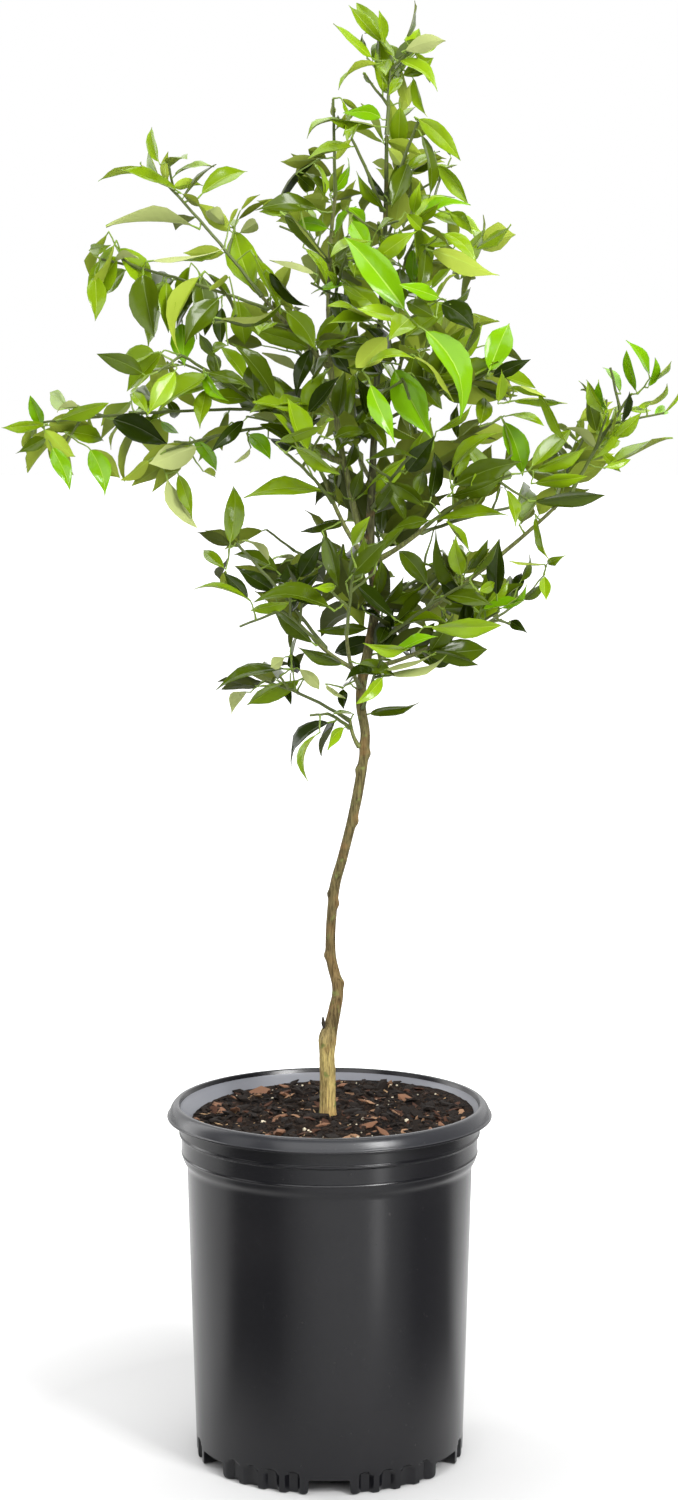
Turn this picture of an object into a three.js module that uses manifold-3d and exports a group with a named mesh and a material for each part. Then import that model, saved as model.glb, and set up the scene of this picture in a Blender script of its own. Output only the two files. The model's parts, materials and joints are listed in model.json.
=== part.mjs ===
// Potted nules clementine tree: a young grafted citrus in a tall round nursery pot.
// Millimetres, +Z up. The origin is on the ground under the pot's axis, and -Y is the front.
// The trunk forks into two leaders. Thin boughs carry loose shoots of long pointed leaves.

import * as THREE from 'three';
import { mergeVertices } from 'three/addons/utils/BufferGeometryUtils.js';
import Module from 'manifold-3d';

const wasm = await Module();
wasm.setup();

// Clearance between two pieces that touch
const SEAT_GAP = 0.35;
const SEAT_STEPS = 16; // in which a foot is slid to its seat
const SEAT_REACH = 12; // how far off the foot its host's faces are looked at

// Pot
const POT = {
  height: 302,
  sides: 36,
  ringInner: 126.5, // flat ring on top of the rim
  ringOuter: 133.5,
  lipRadius: 136.5, // turned-down lip
  lipWaist: 135.2,
  lipHeight: 11,
  underLip: 129,
  upperBand: 125.4, // two bands under the lip
  upperBandFoot: 276,
  lowerBand: 124,
  lowerBandFoot: 259,
  shoulderFoot: 253.5,
  wallTop: 120, // outside of the wall at the shoulder
  wallFoot: 112.7, // and at the ground
  wall: 2.6,
  innerLedgeTop: 291,
  innerLedgeFoot: 281,
  footRound: 4,
  footRingInner: 97,
  floorUnder: 12,
  floorTop: 15,
};
const NOTCH = { count: 6, width: 34, height: 13, drainWidth: 18, drainInner: 92 };
const FLUTE = { perGroup: 4, step: 9.75, width: 10.6, height: 17.5, depth: 3 };

// Potting mix
const SOIL = { top: 288, collar: 14, edgeDrop: 3.5, relief: 1.8, rings: 3 };

// Trunk: rootstock below the graft, scion above it, drawn through these places
const TRUNK_PATH = [
  [-1.5, -2, 288.35],
  [-1.5, -2, 322],
  [-1.9, -3, 350],
  [4.3, -1, 380],
  [6.6, 2, 399],
  [0.9, 5, 429],
  [3.8, 3, 480],
  [11.6, -2, 512],
  [23.0, -6, 561],
  [29.7, -4, 608],
  [26.1, 1, 647],
  [37.5, 4, 716],
  [33.6, 2, 772],
  [37.0, -2, 865],
  [45.2, 2, 1022],
  [46.6, 0, 1100],
];
// Trunk radius at a height above the ground
const TRUNK_RADII = [
  [288, 9.4],
  [296, 7.4],
  [318, 6.6],
  [342, 6.5],
  [354, 7.4],
  [368, 5.9],
  [392, 4.7],
  [430, 4.2],
  [600, 4.1],
  [760, 3.9],
  [860, 2.7],
  [1020, 2.1],
  [1100, 1.4],
];
// Cut stub of the rootstock, and the knots of old leaves, along the trunk
const STUB = { height: 366, side: -1, length: 13, radius: 3.4 };
const KNOTS = [
  [426, -1],
  [478, -1],
  [470, 1],
  [402, 1],
  [583, -1],
  [597, 1],
];
const KNOT = { length: 2.6, radius: 1.9 };

// Growth
const GOLDEN_TURN = 2.39996;
const UP = new THREE.Vector3(0, 0, 1);
const SPACE_MARGIN = 2; // how much nearer a leaf must be to its own stem than to another
const LIMB_CLEARANCE = 4.6; // from a leaf's sampled points to a limb
const TWIG_CLEARANCE = 3;
const LEAF_CLEARANCE = 5; // between the sampled points of two leaves of a mass
const BOUGH_SIDES = 5;
const RING_STEP = 30; // along a bough
const STEM_SIDES = 3;
const STEM_RINGS = 3;
const STEM_RADII = [1.55, 1.1];
const TWIG_RADII = [1.15, 0.95];
const TRIES = 10; // rolls before a twig or leaf that doesn't fit is skipped
const SAMPLE_ROWS = 10; // of five points each, along a leaf
const FOOT_SAMPLES = 15; // the first rows, where leaves may crowd
const LEAF_THICKNESS = 0.02; // of the leaf's length
const BROAD_LEAF = 58; // a leaf at least this long gets four side corners, not two

// Boughs: the limb each grows from and at what height, the tip, the bow and the radii
const BOUGHS = [
  { name: 'leader_left', on: 'trunk', at: 772, tip: [5, 14, 1052],
    bow: [-15, 8, 0], radii: [2.9, 1.4] },
  { name: 'bough_upper_left', on: 'leader_left', at: 916, tip: [-55, 4, 971],
    bow: [2, 0, -3], radii: [1.9, 1.4] },
  { name: 'bough_left', on: 'leader_left', at: 838, tip: [-55, 22, 880],
    bow: [0, 0, -3], radii: [2, 1.5] },
  { name: 'bough_left_rise', on: 'trunk', at: 757, tip: [-3, -26, 822],
    bow: [-3, -3, 0], radii: [2, 1.5] },
  { name: 'bough_right', on: 'trunk', at: 756, tip: [79, -16, 785],
    bow: [0, -1, -2], radii: [2.3, 1.7] },
  { name: 'bough_right_long', on: 'trunk', at: 690, tip: [196, -38, 814],
    bow: [4, 6, -5], radii: [2.3, 1.3] },
  { name: 'bough_low_right', on: 'trunk', at: 668, tip: [90, -20, 690],
    bow: [0, -2, -2], radii: [2, 1.5] },
  { name: 'bough_low_left', on: 'trunk', at: 664, tip: [-9, -10, 688],
    bow: [0, 0, -2], radii: [1.9, 1.5] },
  { name: 'bough_bottom_left', on: 'trunk', at: 603, tip: [17, -6, 624],
    bow: [-1, 0, -1], radii: [1.7, 1.4] },
  { name: 'bough_upper_right', on: 'trunk', at: 964, tip: [62, -13, 1000],
    bow: [2, -1, -2], radii: [1.7, 1.3] },
  { name: 'bough_front', on: 'trunk', at: 880, tip: [58, -62, 920],
    bow: [2, -3, -4], radii: [1.9, 1.4] },
  { name: 'bough_back', on: 'trunk', at: 822, tip: [14, 78, 868],
    bow: [0, 4, -4], radii: [1.9, 1.4] },
  { name: 'bough_low_back', on: 'trunk', at: 700, tip: [44, 80, 744],
    bow: [2, 3, -4], radii: [2, 1.5] },
  { name: 'bough_low_front', on: 'trunk', at: 652, tip: [14, -60, 700],
    bow: [-2, -3, -3], radii: [1.9, 1.4] },
];

// Foliage: each mass is one stem from a limb, its side twigs, and leaves along them all
const LEAVES = {
  twigs: 2, // side twigs
  twig: 50, // their length
  spread: 0.85, // their angle from the stem, in radians
  leaf: 78, // leaf length with its stalk
  slim: 0.41, // leaf width as a share of its length
  gap: 14, // between leaves along a twig
  bare: 14, // leafless foot of the stem
  hang: 0.15, // how far the leaves are drawn down, or up where negative
  bow: [0, 0, 3],
};
const MASSES = [
  // The leader on the right
  { name: 'leaves_top', on: 'trunk', at: 'tip', tip: [50, -4, 1164], seed: 2,
    twigs: 3, twig: 46, leaf: 62, gap: 16, slim: 0.34, hang: -0.2 },
  { name: 'leaves_top_right', on: 'trunk', at: 1046, tip: [76, -24, 1120], seed: 15, leaf: 66, hang: 0.6 },
  { name: 'leaves_top_left', on: 'trunk', at: 1040, tip: [18, -20, 1096], seed: 9, twigs: 1, leaf: 66 },
  { name: 'leaves_top_back', on: 'trunk', at: 1014, tip: [70, 50, 1078], seed: 11, leaf: 64, gap: 18 },
  { name: 'leaves_top_front', on: 'trunk', at: 990, tip: [38, -66, 1040], seed: 44, leaf: 80 },
  // The leader on the left
  { name: 'leaves_left_head', on: 'leader_left', at: 'tip', tip: [3, 8, 1136], seed: 4,
    twigs: 1, twig: 34, leaf: 46, gap: 24, slim: 0.32 },
  { name: 'leaves_left_crest', on: 'leader_left', at: 1000, tip: [-34, -24, 1036], seed: 21,
    leaf: 84, hang: 0.9 },
  { name: 'leaves_left_rear', on: 'leader_left', at: 984, tip: [-16, 64, 1024], seed: 8,
    leaf: 72, gap: 18 },
  { name: 'leaves_left_front', on: 'leader_left', at: 952, tip: [14, -64, 1002], seed: 2,
    twig: 42, hang: 0.3 },
  { name: 'leaves_left_inner', on: 'leader_left', at: 880, tip: [-28, 64, 930], seed: 12, gap: 18 },
  // Left side of the crown
  { name: 'leaves_upper_left_high', on: 'bough_upper_left', at: 'tip', tip: [-140, 30, 1070], seed: 1,
    leaf: 60, slim: 0.34, gap: 16 },
  { name: 'leaves_upper_left_low', on: 'bough_upper_left', at: 963, tip: [-184, -22, 1000], seed: 17,
    leaf: 94, gap: 20, hang: 1.8 },
  { name: 'leaves_upper_left_mid', on: 'bough_upper_left', at: 948, tip: [-92, -70, 948], seed: 24,
    leaf: 90, hang: 0.9 },
  { name: 'leaves_far_left', on: 'bough_left', at: 'tip', tip: [-260, 44, 866], seed: 10,
    twigs: 3, leaf: 76, gap: 21, hang: 0.5 },
  { name: 'leaves_left', on: 'bough_left', at: 874, tip: [-128, -46, 928], seed: 13, twigs: 3 },
  { name: 'leaves_left_low', on: 'bough_left', at: 868, tip: [-134, 2, 846], seed: 14,
    leaf: 84, hang: 1.2 },
  { name: 'leaves_left_middle', on: 'bough_left_rise', at: 'tip', tip: [-36, -30, 876], seed: 15,
    twigs: 3 },
  { name: 'leaves_centre_left', on: 'bough_left_rise', at: 806, tip: [-34, -96, 846], seed: 42,
    leaf: 74, hang: 0.4 },
  // Middle and right side of the crown
  { name: 'leaves_upper_right', on: 'bough_upper_right', at: 'tip', tip: [84, -38, 1040], seed: 16,
    twigs: 2, leaf: 64 },
  { name: 'leaves_upper_right_side', on: 'bough_upper_right', at: 994, tip: [116, 24, 1000], seed: 17,
    leaf: 74 },
  { name: 'leaves_front', on: 'bough_front', at: 'tip', tip: [60, -124, 954], seed: 18,
    twigs: 2, twig: 40, leaf: 94 },
  { name: 'leaves_front_low', on: 'bough_front', at: 911, tip: [64, -114, 884], seed: 19,
    twig: 40, leaf: 92, hang: 0.7 },
  { name: 'leaves_right_rear', on: 'trunk', at: 896, tip: [118, 62, 930], seed: 20,
    leaf: 82, twigs: 3, gap: 18 },
  { name: 'leaves_right', on: 'trunk', at: 868, tip: [138, -52, 912], seed: 21, leaf: 80 },
  { name: 'leaves_centre_front', on: 'trunk', at: 800, tip: [70, -86, 850], seed: 22, leaf: 84 },
  { name: 'leaves_right_limb_high', on: 'bough_right', at: 'tip', tip: [146, -50, 828], seed: 23,
    twigs: 3, leaf: 82, hang: 0.1 },
  { name: 'leaves_right_limb_low', on: 'bough_right', at: 780, tip: [168, 16, 802], seed: 24,
    twigs: 3, leaf: 74 },
  { name: 'leaves_far_right', on: 'bough_right_long', at: 'tip', tip: [242, -52, 892], seed: 25,
    twigs: 4, leaf: 50, slim: 0.3, hang: -0.3 },
  { name: 'leaves_far_right_rear', on: 'bough_right_long', at: 800, tip: [200, 30, 838], seed: 26,
    leaf: 66 },
  // Lower crown
  { name: 'leaves_low_right_front', on: 'trunk', at: 684, tip: [112, -84, 744], seed: 27,
    twigs: 3, hang: -0.4 },
  { name: 'leaves_low_right_rear', on: 'trunk', at: 718, tip: [104, 62, 752], seed: 28,
    twigs: 3, gap: 18 },
  { name: 'leaves_low_right', on: 'bough_low_right', at: 'tip', tip: [154, -30, 712], seed: 19,
    twigs: 3, leaf: 62, gap: 16, spread: 0.6, hang: -0.4 },
  { name: 'leaves_trunk_right', on: 'trunk', at: 620, tip: [66, -10, 640], seed: 30,
    twigs: 0, leaf: 66, bare: 4, gap: 8 },
  { name: 'leaves_low_centre', on: 'trunk', at: 634, tip: [44, -66, 684], seed: 43, leaf: 74 },
  { name: 'leaves_bottom_left', on: 'bough_bottom_left', at: 'tip', tip: [-54, 26, 654], seed: 31,
    leaf: 60 },
  { name: 'leaves_bottom_front', on: 'bough_bottom_left', at: 619, tip: [-12, -38, 636], seed: 8,
    twigs: 1, leaf: 56, hang: 1.2 },
  { name: 'leaves_low_left', on: 'bough_low_left', at: 'tip', tip: [-46, -38, 722], seed: 25,
    twigs: 3, leaf: 66 },
  { name: 'leaves_low_left_far', on: 'bough_low_left', at: 683, tip: [-84, 24, 776], seed: 34,
    twigs: 1, leaf: 52, gap: 18, slim: 0.32, hang: -0.6 },
  { name: 'leaves_low_front', on: 'bough_low_front', at: 'tip', tip: [20, -96, 758], seed: 35, twigs: 3 },
  { name: 'leaves_low_back', on: 'bough_low_back', at: 'tip', tip: [40, 100, 780], seed: 36, gap: 15 },
  { name: 'leaves_low_back_left', on: 'trunk', at: 728, tip: [-36, 82, 762], seed: 37, gap: 17 },
  // Behind
  { name: 'leaves_back', on: 'bough_back', at: 'tip', tip: [6, 116, 902], seed: 38, twigs: 3, gap: 17 },
  { name: 'leaves_back_right', on: 'trunk', at: 812, tip: [96, 92, 862], seed: 39, gap: 18 },
];

// Colours
const COLOUR = {
  pot: '#2f2f31',
  soil: '#2c1d16',
  trunk: '#8a7448',
  bough: '#6f7a3a',
  leaf: '#5c8f16',
};

// Numbers and vectors

// A stream of numbers between 0 and 1, the same each time for one seed
function seededNumbers(seed) {
  let state = seed * 7919 + 101;
  return () => {
    state = (state * 16807) % 2147483647;
    return state / 2147483647;
  };
}

function between(low, high, share) {
  return low + (high - low) * share;
}

// The value at a place in a list of [place, value] pairs in rising order
function readTable(table, place) {
  const next = table.findIndex(([at]) => at >= place);
  if (next === 0) return table[0][1];
  if (next < 0) return table[table.length - 1][1];
  const [fromPlace, fromValue] = table[next - 1];
  const [toPlace, toValue] = table[next];
  return between(fromValue, toValue, (place - fromPlace) / (toPlace - fromPlace));
}

function distanceToSegment(point, segment) {
  const { start, along, lengthSquared } = segment;
  const dx = point.x - start.x;
  const dy = point.y - start.y;
  const dz = point.z - start.z;
  const share = (dx * along.x + dy * along.y + dz * along.z) / lengthSquared;
  const t = Math.min(Math.max(share, 0), 1);
  return Math.hypot(dx - along.x * t, dy - along.y * t, dz - along.z * t);
}

function distanceToPath(point, path) {
  let nearest = Infinity;
  for (const segment of path) nearest = Math.min(nearest, distanceToSegment(point, segment));
  return nearest;
}

// The straight stretches between points, each with the limb's radius halfway along
function pathThrough(points, radiusAt = () => 0) {
  return points.slice(1).map((end, i) => {
    const along = end.clone().sub(points[i]);
    const radius = radiusAt((i + 0.5) / (points.length - 1));
    return { start: points[i], along, lengthSquared: along.lengthSq(), radius };
  });
}

// Solids

function toSolid(geometry) {
  const bare = geometry.clone();
  bare.deleteAttribute('normal');
  bare.deleteAttribute('uv');
  const merged = mergeVertices(bare, 1e-4);
  const vertProperties = merged.getAttribute('position').array;
  const triVerts = Uint32Array.from(merged.index.array);
  return new wasm.Manifold(new wasm.Mesh({ numProp: 3, vertProperties, triVerts }));
}

function toGeometry(solid) {
  const mesh = solid.getMesh();
  const geometry = new THREE.BufferGeometry();
  const position = new THREE.BufferAttribute(Float32Array.from(mesh.vertProperties), 3);
  geometry.setAttribute('position', position);
  geometry.setIndex([...mesh.triVerts]);
  const flat = geometry.toNonIndexed();
  flat.computeVertexNormals();
  return flat;
}

// One body from many: what does not hang together with the largest is dropped
function fuse(geometries) {
  const joined = wasm.Manifold.union(geometries.map(toSolid));
  const bodies = joined.simplify(0.004).decompose();
  const largest = bodies.reduce((a, b) => (b.volume() > a.volume() ? b : a));
  return toGeometry(largest);
}

function namedMesh(name, geometry, colour, roughness) {
  const material = new THREE.MeshStandardMaterial({ color: colour, roughness, metalness: 0 });
  const mesh = new THREE.Mesh(geometry, material);
  mesh.name = name;
  return mesh;
}

// A round limb along a curve: a cylinder of unit radius, bent and tapered ring by ring
function limbGeometry(curve, radiusAt, sides, rings, heel = curve.getPoint(0)) {
  const cylinder = new THREE.CylinderGeometry(1, 1, 1, sides, rings);
  const position = cylinder.getAttribute('position');
  const frames = limbFrames(curve, rings);
  frames[0].centre = heel;
  const point = new THREE.Vector3();
  for (let i = 0; i < position.count; i += 1) {
    point.fromBufferAttribute(position, i);
    const ring = Math.round((point.y + 0.5) * rings);
    const { centre, across, beside } = frames[ring];
    const radius = radiusAt(ring / rings);
    const placed = centre.clone();
    placed.addScaledVector(across, point.x * radius);
    placed.addScaledVector(beside, -point.z * radius);
    position.setXYZ(i, placed.x, placed.y, placed.z);
  }
  return cylinder;
}

// Centre, tangent and two side directions that turn as little as they can along the curve
function limbFrames(curve, rings) {
  const frames = [];
  let across = null;
  for (let ring = 0; ring <= rings; ring += 1) {
    const centre = curve.getPoint(ring / rings);
    const tangent = curve.getTangent(ring / rings);
    across = across === null ? sideways(tangent) : across.clone();
    across.addScaledVector(tangent, -across.dot(tangent)).normalize();
    const beside = new THREE.Vector3().crossVectors(tangent, across);
    frames.push({ centre, tangent, across, beside });
  }
  return frames;
}

// A level direction across a tangent, or along X where the tangent is upright
function sideways(tangent) {
  const side = new THREE.Vector3().crossVectors(tangent, UP);
  if (side.length() < 1e-3) side.set(1, 0, 0);
  return side.normalize();
}

// Limbs

// A curve from foot to tip whose middle is bowed off the straight line
function bowedCurve(foot, tip, bow) {
  const control = foot.clone().add(tip).multiplyScalar(0.5);
  control.addScaledVector(bow, 2);
  return new THREE.QuadraticBezierCurve3(foot, control, tip);
}

// Where a new limb starts: clear of the side, or of the cut end, of the limb that carries it
function footOn(host, at, towards, radius) {
  const centre = host.curve.getPoint(at);
  const tangent = host.curve.getTangent(at);
  const reach = towards.clone().sub(centre).normalize();
  const lean = Math.min(Math.max(reach.dot(tangent), -1), 1);
  const tilt = Math.sqrt(1 - lean * lean);
  const hostRadius = host.radiusAt(at);
  const besideSide = hostRadius + SEAT_GAP + radius * Math.abs(lean) + host.radiusAt(at) * 0.04;
  if (at < 1) {
    const outward = reach.clone().addScaledVector(tangent, -lean).normalize();
    return centre.addScaledVector(outward, besideSide);
  }
  const pastEnd = (SEAT_GAP + radius * tilt) / Math.max(lean, 1e-3);
  const pastSide = besideSide / Math.max(tilt, 1e-3);
  return centre.addScaledVector(reach, Math.min(pastEnd, pastSide));
}

// The foot ring's centre, slid towards the middle of the limb's host to a seat's gap from it
function seatHeel(limb, host, middle) {
  const foot = limb.curve.getPoint(0);
  const inward = middle.clone().sub(foot).normalize();
  const carrier = limbGeometry(host.curve, host.radiusAt, host.sides, host.rings, host.heel);
  const faces = facesNear(carrier, foot);
  const rim = footRim(limb);
  const nearest = new THREE.Vector3();
  let slide = 0;
  for (let i = 0; i < SEAT_STEPS; i += 1) {
    let gap = Infinity;
    for (const place of rim) {
      const point = place.clone().addScaledVector(inward, slide);
      for (const face of faces) {
        face.closestPointToPoint(point, nearest);
        gap = Math.min(gap, nearest.distanceTo(point));
      }
    }
    slide += gap - SEAT_GAP;
  }
  return foot.addScaledVector(inward, slide);
}

// Points along the edge of a limb's foot ring
function footRim({ curve, radiusAt, sides, rings }) {
  const [{ centre, across, beside }] = limbFrames(curve, rings);
  const corners = Array.from({ length: sides + 1 }, (_, i) => {
    const turn = (2 * Math.PI * i) / sides;
    const corner = centre.clone().addScaledVector(across, Math.sin(turn) * radiusAt(0));
    return corner.addScaledVector(beside, -Math.cos(turn) * radiusAt(0));
  });
  const shares = [0, 0.25, 0.5, 0.75];
  return corners.slice(1).flatMap((end, i) => shares.map((share) => corners[i].clone().lerp(end, share)));
}

// The triangles of a solid that come within reach of a place
function facesNear(geometry, place) {
  const flat = geometry.toNonIndexed().getAttribute('position');
  const faces = [];
  for (let i = 0; i < flat.count; i += 3) {
    const face = new THREE.Triangle();
    face.setFromAttributeAndIndices(flat, i, i + 1, i + 2);
    const nearest = face.closestPointToPoint(place, new THREE.Vector3());
    if (nearest.distanceTo(place) < SEAT_REACH) faces.push(face);
  }
  return faces;
}

function growLimb({ name, on, at, tip, bow, radii }, limbs, sides, fixedRings = 0) {
  const host = limbs.get(on);
  const share = at === 'tip' ? 1 : shareAtHeight(host.curve, at);
  const end = new THREE.Vector3(...tip);
  const bend = new THREE.Vector3(...bow);
  const hostCentre = host.curve.getPoint(share);
  const towards = hostCentre.clone().add(end).multiplyScalar(0.5).addScaledVector(bend, 2);
  const foot = footOn(host, share, towards, radii[0]);
  const curve = bowedCurve(foot, end, bend);
  const radiusAt = (place) => between(radii[0], radii[1], place);
  const rings = fixedRings || Math.max(4, Math.round(curve.getLength() / RING_STEP));
  const path = pathThrough(curve.getPoints(rings), radiusAt);
  const limb = { name, curve, radiusAt, sides, rings, path };
  limb.heel = seatHeel(limb, host, hostCentre);
  return limb;
}

function growTrunk() {
  const places = TRUNK_PATH.map((place) => new THREE.Vector3(...place));
  const curve = new THREE.CatmullRomCurve3(places, false, 'catmullrom', 0.5);
  const radiusAt = (share) => readTable(TRUNK_RADII, curve.getPoint(share).z);
  const rings = 2 * (places.length - 1);
  const path = pathThrough(curve.getPoints(rings), radiusAt);
  return { name: 'trunk', curve, radiusAt, sides: 7, rings, path };
}

// The trunk with its cut stub and its knots fused on
function trunkGeometry(trunk) {
  const knobs = KNOTS.map(([height, side]) => ({ height, side, ...KNOT }));
  const bumps = [STUB, ...knobs].map(({ height, side, length, radius }) => {
    const share = shareAtHeight(trunk.curve, height);
    const centre = trunk.curve.getPoint(share);
    const out = new THREE.Vector3(side, -0.35, 0.45).normalize();
    const reach = trunk.radiusAt(share) + length;
    const end = centre.clone().addScaledVector(out, reach);
    const axis = new THREE.LineCurve3(centre, end);
    return limbGeometry(axis, (place) => between(radius, radius * 0.62, place), 5, 1);
  });
  return fuse([limbGeometry(trunk.curve, trunk.radiusAt, trunk.sides, trunk.rings), ...bumps]);
}

function shareAtHeight(curve, height) {
  let low = 0;
  let high = 1;
  for (let i = 0; i < 30; i += 1) {
    const middle = (low + high) / 2;
    if (curve.getPoint(middle).z < height) low = middle;
    else high = middle;
  }
  return low;
}

// Foliage

// A leaf's half width as a share of its widest, from stalk to tip
function leafOutline(share) {
  return Math.sin(Math.PI * share ** 0.85);
}

// A point of the blade: along it from 0 to 1, across it from -1 to 1, and how far off its face
function leafPoint(leaf, along, across, proud = 0) {
  const { base, heading, side, face, length, width, arch } = leaf;
  const half = (width / 2) * leafOutline(along) * across;
  const rise = proud - arch * length * along * along;
  const point = base.clone().addScaledVector(heading, length * along);
  return point.addScaledVector(side, half).addScaledVector(face, rise);
}

// The blade's sampled points, row by row from the foot, which the spacing rules look at
function leafSamples(leaf) {
  const samples = [];
  for (let row = 1; row <= SAMPLE_ROWS; row += 1) {
    for (let column = -2; column <= 2; column += 1) {
      samples.push(leafPoint(leaf, row / SAMPLE_ROWS, column / 2));
    }
  }
  return samples;
}

// A thin blade of 10 faces, or of 6 where it is short: flat below, a low roof over the midrib above
function leafGeometry(leaf) {
  const stations = leaf.length >= BROAD_LEAF ? [0.3, 0.64] : [0.45];
  const left = stations.map((along) => leafPoint(leaf, along, -1));
  const right = stations.map((along) => leafPoint(leaf, along, 1)).reverse();
  const rim = [leafPoint(leaf, 0, 0), ...left, leafPoint(leaf, 1, 0), ...right];
  const peak = leafPoint(leaf, 0.46, 0, leaf.length * LEAF_THICKNESS);
  const faces = rim.flatMap((_, i) => [rim.length, (i + 1) % rim.length, i]);
  for (let i = 0; i < rim.length / 2; i += 1) {
    const across = rim.length - i;
    if (i + 1 < rim.length / 2) faces.push(i, i + 1, across - 1);
    if (i > 0) faces.push(i, across - 1, across);
  }
  const corners = [...rim, peak].flatMap((point) => point.toArray());
  const geometry = new THREE.BufferGeometry();
  geometry.setAttribute('position', new THREE.Float32BufferAttribute(corners, 3));
  geometry.setIndex(faces);
  return geometry;
}

// The direction away from a shoot at a turn round it
function outwardFrom(tangent, turn) {
  const side = sideways(tangent);
  const above = new THREE.Vector3().crossVectors(side, tangent);
  return side.multiplyScalar(Math.cos(turn)).addScaledVector(above, Math.sin(turn));
}

// One roll of a leaf: its lean from the shoot, its droop, its size and its twist
function rollLeaf(shoot, along, turn, mass, attempt, random) {
  const tangent = shoot.curve.getTangent(along);
  const lean = between(0.6, 1.2, random()) * (along === 1 ? 0.35 : 1);
  const out = outwardFrom(tangent, turn + between(-0.5, 0.5, random()) + attempt * 0.9);
  const heading = tangent.clone().multiplyScalar(Math.cos(lean)).addScaledVector(out, Math.sin(lean));
  heading.z -= mass.hang * between(0.5, 1.1, random());
  heading.normalize();
  const light = tangent.clone().multiplyScalar(0.3).addScaledVector(mass.outlook, 1);
  light.addScaledVector(out, between(-0.5, 0.5, random()));
  const side = new THREE.Vector3().crossVectors(heading, light).normalize();
  const face = new THREE.Vector3().crossVectors(side, heading);
  const twist = between(-0.6, 0.6, random());
  side.multiplyScalar(Math.cos(twist)).addScaledVector(face, Math.sin(twist)).normalize();
  face.crossVectors(side, heading);
  const swell = 0.74 + 0.32 * Math.sin(Math.PI * Math.min(along * 1.1, 1));
  const length = mass.leaf * swell * between(0.82, 1.14, random()) * (1 - 0.06 * attempt);
  const width = length * mass.slim * between(0.88, 1.14, random());
  const arch = between(0.03, 0.17, random());
  const base = shoot.curve.getPoint(along);
  return { base, heading, side, face, length, width, arch };
}

// Whether points keep to a mass's own space, nearer its stem than any other, and clear of limbs
function isClear(points, mass, masses, limbPaths, clearance) {
  const others = masses.filter((other) => other !== mass);
  return points.every((point) => {
    const limit = distanceToPath(point, mass.space) + SPACE_MARGIN;
    const inSpace = others.every((other) => distanceToPath(point, other.space) >= limit);
    return inSpace && limbPaths.every((part) => distanceToSegment(point, part) > part.radius + clearance);
  });
}

// Whether a leaf, past its foot, keeps off the leaves already there
function isApart(samples, leaves) {
  const outer = samples.slice(FOOT_SAMPLES);
  return leaves.every(({ samples: others }) => {
    const placed = others.slice(FOOT_SAMPLES);
    return outer.every((point) => placed.every((other) => point.distanceTo(other) > LEAF_CLEARANCE));
  });
}

function growTwigs(stem, mass, masses, limbPaths, random) {
  const twigs = [];
  for (let i = 0; i < mass.twigs; i += 1) {
    const along = between(0.3, 0.92, (i + random()) / mass.twigs);
    const tangent = stem.curve.getTangent(along);
    for (let attempt = 0; attempt < TRIES; attempt += 1) {
      const out = outwardFrom(tangent, i * GOLDEN_TURN + attempt * 1.1 + between(-0.4, 0.4, random()));
      const lean = mass.spread * between(0.8, 1.2, random());
      const heading = tangent.clone().multiplyScalar(Math.cos(lean)).addScaledVector(out, Math.sin(lean));
      const length = mass.twig * between(0.75, 1.15, random()) * (1 - 0.35 * along) * (1 - 0.08 * attempt);
      const foot = stem.curve.getPoint(along);
      const tip = foot.clone().addScaledVector(heading, length);
      tip.z -= mass.hang * length * 0.25;
      const curve = new THREE.LineCurve3(foot, tip);
      const points = curve.getPoints(6).slice(1);
      if (isClear(points, mass, masses, limbPaths, TWIG_CLEARANCE)) {
        twigs.push({ curve, length, radii: TWIG_RADII, rings: 1, bare: 8 });
        break;
      }
    }
  }
  return twigs;
}

function growLeaves(shoot, mass, masses, limbPaths, random, leaves) {
  const count = Math.max(1, Math.round((shoot.length - shoot.bare) / mass.gap));
  for (let i = 0; i <= count; i += 1) {
    const along = between(shoot.bare / shoot.length, 1, i / count);
    for (let attempt = 0; attempt < TRIES; attempt += 1) {
      const leaf = rollLeaf(shoot, along, i * GOLDEN_TURN, mass, attempt, random);
      leaf.samples = leafSamples(leaf);
      const clear = isClear(leaf.samples, mass, masses, limbPaths, LIMB_CLEARANCE);
      if (clear && isApart(leaf.samples, leaves)) {
        leaves.push(leaf);
        break;
      }
    }
  }
}

// A mass of foliage: its stem, the twigs and leaves that fit, all fused into one body
function foliageGeometry(mass, masses, limbPaths) {
  const random = seededNumbers(mass.seed);
  const length = mass.curve.getLength();
  const { curve, heel, bare } = mass;
  const stem = { curve, length, radii: STEM_RADII, rings: STEM_RINGS, bare, heel };
  const shoots = [stem, ...growTwigs(stem, mass, masses, limbPaths, random)];
  const leaves = [];
  for (const shoot of shoots) growLeaves(shoot, mass, masses, limbPaths, random, leaves);
  const sticks = shoots.map(({ curve: middle, radii, rings, heel: start }) =>
    limbGeometry(middle, (share) => between(radii[0], radii[1], share), STEM_SIDES, rings, start),
  );
  return fuse([...sticks, ...leaves.map(leafGeometry)]);
}

// The stem of a mass, and the space round it: its path, drawn on past the tip
function placeMass(entry, limbs) {
  const mass = { ...LEAVES, ...entry };
  const limb = growLimb({ ...mass, radii: STEM_RADII }, limbs, STEM_SIDES, STEM_RINGS);
  const points = limb.curve.getPoints(5);
  const reach = limb.curve.getTangent(1).multiplyScalar(mass.leaf * 0.5);
  points.push(points[points.length - 1].clone().add(reach));
  const [x, y] = mass.tip;
  const outlook = new THREE.Vector3(x / 300, y < 0 ? -0.8 : 0.8, 0.6);
  return { ...mass, curve: limb.curve, heel: limb.heel, space: pathThrough(points), outlook };
}

// Pot

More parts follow.
